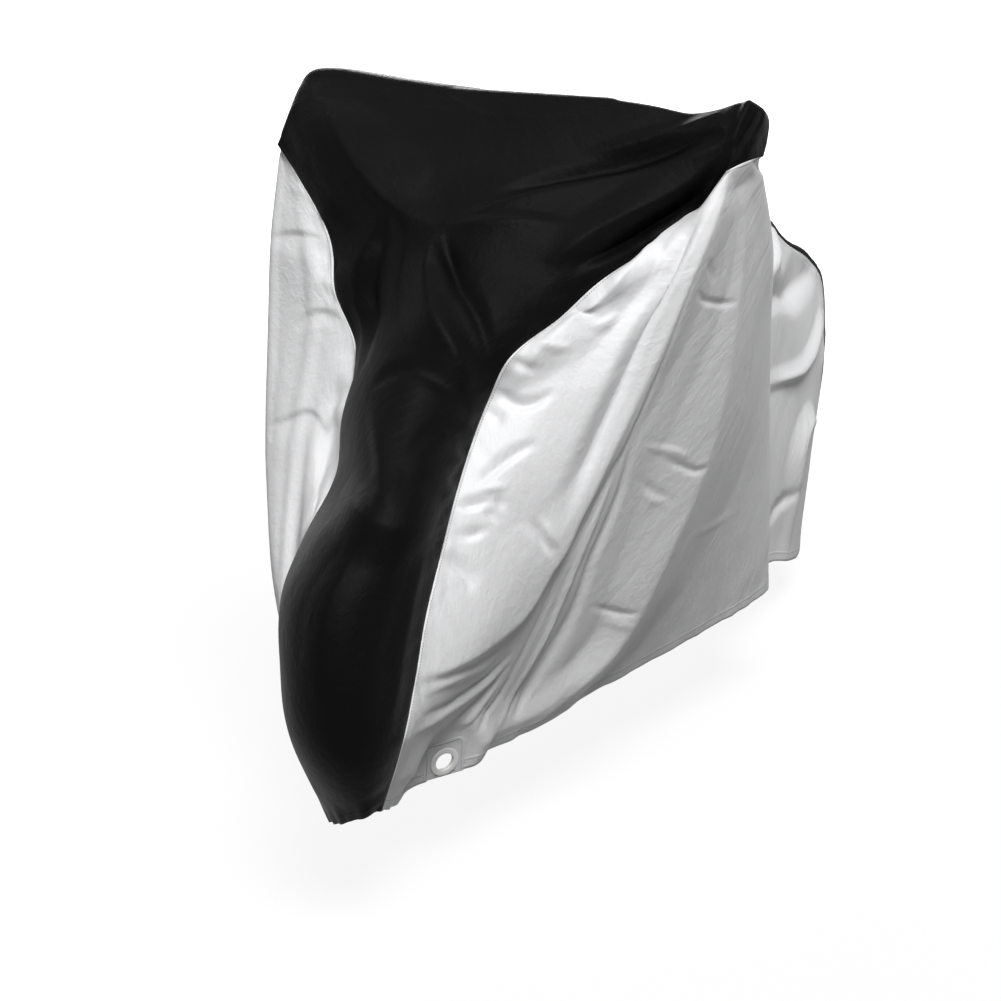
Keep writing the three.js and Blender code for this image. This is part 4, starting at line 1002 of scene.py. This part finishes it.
def ringPiece(side, seat):
    hole, rim = eyelet["hole"] / 2, eyelet["rim"] / 2
    barrel, inner = hole + eyelet["barrelWall"], eyelet["patchThickness"] / 2
    outer = inner + eyelet["flange"]
    lower = [(hole, -outer), (rim, -outer), (rim, -inner), (barrel, -inner)]
    profile = lower + [(r, -h) for r, h in reversed(lower)]
    bpy.ops.object.select_all(action="DESELECT")
    bpy.ops.mesh.primitive_plane_add(size=0.001)
    piece = bpy.context.object
    piece.name = piece.data.name = "eyelet_rim_" + side
    bpy.ops.object.mode_set(mode="EDIT")
    bpy.ops.mesh.select_all(action="SELECT")
    bpy.ops.mesh.merge(type="CENTER")
    bpy.ops.transform.translate(value=(profile[0][0], 0, profile[0][1]))
    for (r, h), (nextR, nextH) in zip(profile, profile[1:] + profile[:1]):
        bpy.ops.mesh.extrude_region_move(TRANSFORM_OT_translate={"value": (nextR - r, 0, nextH - h)})
    mergeDoubles()
    bpy.ops.mesh.spin(steps=eyelet["ringSteps"], angle=2 * math.pi, center=(0, 0, 0), axis=(0, 0, 1))
    mergeDoubles()
    bpy.ops.mesh.normals_make_consistent(inside=False)
    bpy.ops.object.mode_set(mode="OBJECT")
    soften = piece.modifiers.new("soften", "BEVEL")
    soften.width, soften.segments, soften.limit_method = eyelet["rounding"], 3, "ANGLE"
    applyModifiers(piece)
    centre, x, y, z = (Vector(vector) for vector in seat)
    piece.matrix_world = Matrix.Translation(centre) @ Matrix((x, y, z)).transposed().to_4x4()
    select(piece)
    bpy.ops.object.transform_apply(location=True, rotation=True, scale=True)
    bpy.ops.object.shade_smooth_by_angle(angle=math.radians(40))
    finish(piece, "eyelet_ring_" + side, ringPlastic)


for side, seat in (("left", leftSeat), ("right", rightSeat)):
    patchPiece(side, seat)
    ringPiece(side, seat)
print("eyelets made")

studio = {
    "floorBelow": 0.075,
    "floorSize": 60,
    "floorColour": (0.16, 0.16, 0.16, 1),
    "floorSpeck": (0.14, 0.14, 0.14, 1),
    "floorGlow": 1.8,  # for the camera and reflections alone
    "floorShare": 0.5,  # of that glow under the cover, rising to all of it far off
    "floorFade": (1.5, 4.0),
    "keyAzimuth": 44,
    "keyHeight": 60,
    "keyStrength": 4.1,
    "keySpread": 24,
    "fillAzimuth": 221,
    "fillHeight": 12,
    "fillStrength": 2.6,
    "fillSpread": 30,
    "ambient": 0.015,
}
view = {"azimuth": 30.0, "pitch": 19.4, "distance": 4.14, "aim": (-0.167, 0.198, -0.726), "lens": 90}


def towards(azimuth, height):
    # from the front round to the left, in degrees
    a, h = math.radians(azimuth), math.radians(height)
    return Vector((math.sin(a) * math.cos(h), -math.cos(a) * math.cos(h), math.sin(h)))


def backdropLight(wire):
    seen = wire.node("LightPath", {}, {}, "Is Camera Ray")
    for ray in ("Is Glossy Ray", "Is Transmission Ray"):
        seen = wire.math("MAXIMUM", seen, wire.node("LightPath", {}, {}, ray))
    return seen


bpy.ops.object.select_all(action="DESELECT")
floorHeight = cadBox[0].z - studio["floorBelow"]
bpy.ops.mesh.primitive_plane_add(size=studio["floorSize"], location=(0, 0, floorHeight))
floor = bpy.context.object
floor.name = "floor"
floorMaterial, wire = newMaterial("floorPaper")
place = wire.node("TexCoord", {}, {}, "Object")
paperColour = wire.mix(wire.noise(place, 3, 3) * 0.04, studio["floorColour"], studio["floorSpeck"])
paper = wire.node("BsdfDiffuse", {}, {"Color": paperColour})
glow = wire.node("Emission", {}, {"Color": (1, 1, 1, 1), "Strength": studio["floorGlow"]})
far = wire.node("VectorMath", {"operation": "LENGTH"}, {0: place}, "Value").step(*studio["floorFade"])
share = backdropLight(wire) * (far * (1 - studio["floorShare"]) + studio["floorShare"])
wire.node("OutputMaterial", {}, {"Surface": wire.node("MixShader", {}, {0: share, 1: paper, 2: glow})})
floor.data.materials.append(floorMaterial)

world = bpy.data.worlds.new("studio")
world.use_nodes = True
world.node_tree.nodes.clear()
wire = Wire(world.node_tree)
strength = backdropLight(wire) * (1 - studio["ambient"]) + studio["ambient"]
backdrop = wire.node("Background", {}, {"Color": (1, 1, 1, 1), "Strength": strength})
wire.node("OutputWorld", {}, {"Surface": backdrop})
bpy.context.scene.world = world


def sun(name):
    bpy.ops.object.light_add(type="SUN")
    lamp = bpy.context.object
    lamp.name = name
    lamp.data.energy = studio[name + "Strength"]
    lamp.data.angle = math.radians(studio[name + "Spread"])
    way = towards(studio[name + "Azimuth"], studio[name + "Height"])
    lamp.rotation_euler = way.to_track_quat("Z", "Y").to_euler()


sun("key")
sun("fill")

bpy.ops.object.camera_add()
camera = bpy.context.object
back = towards(view["azimuth"], view["pitch"])
camera.location = Vector(view["aim"]) + view["distance"] * back
camera.rotation_euler = back.to_track_quat("Z", "Y").to_euler()
camera.data.lens = view["lens"]
camera.data.sensor_width = 36
bpy.context.scene.camera = camera
bpy.context.scene.view_settings.view_transform = "Standard"
print("studio ready")
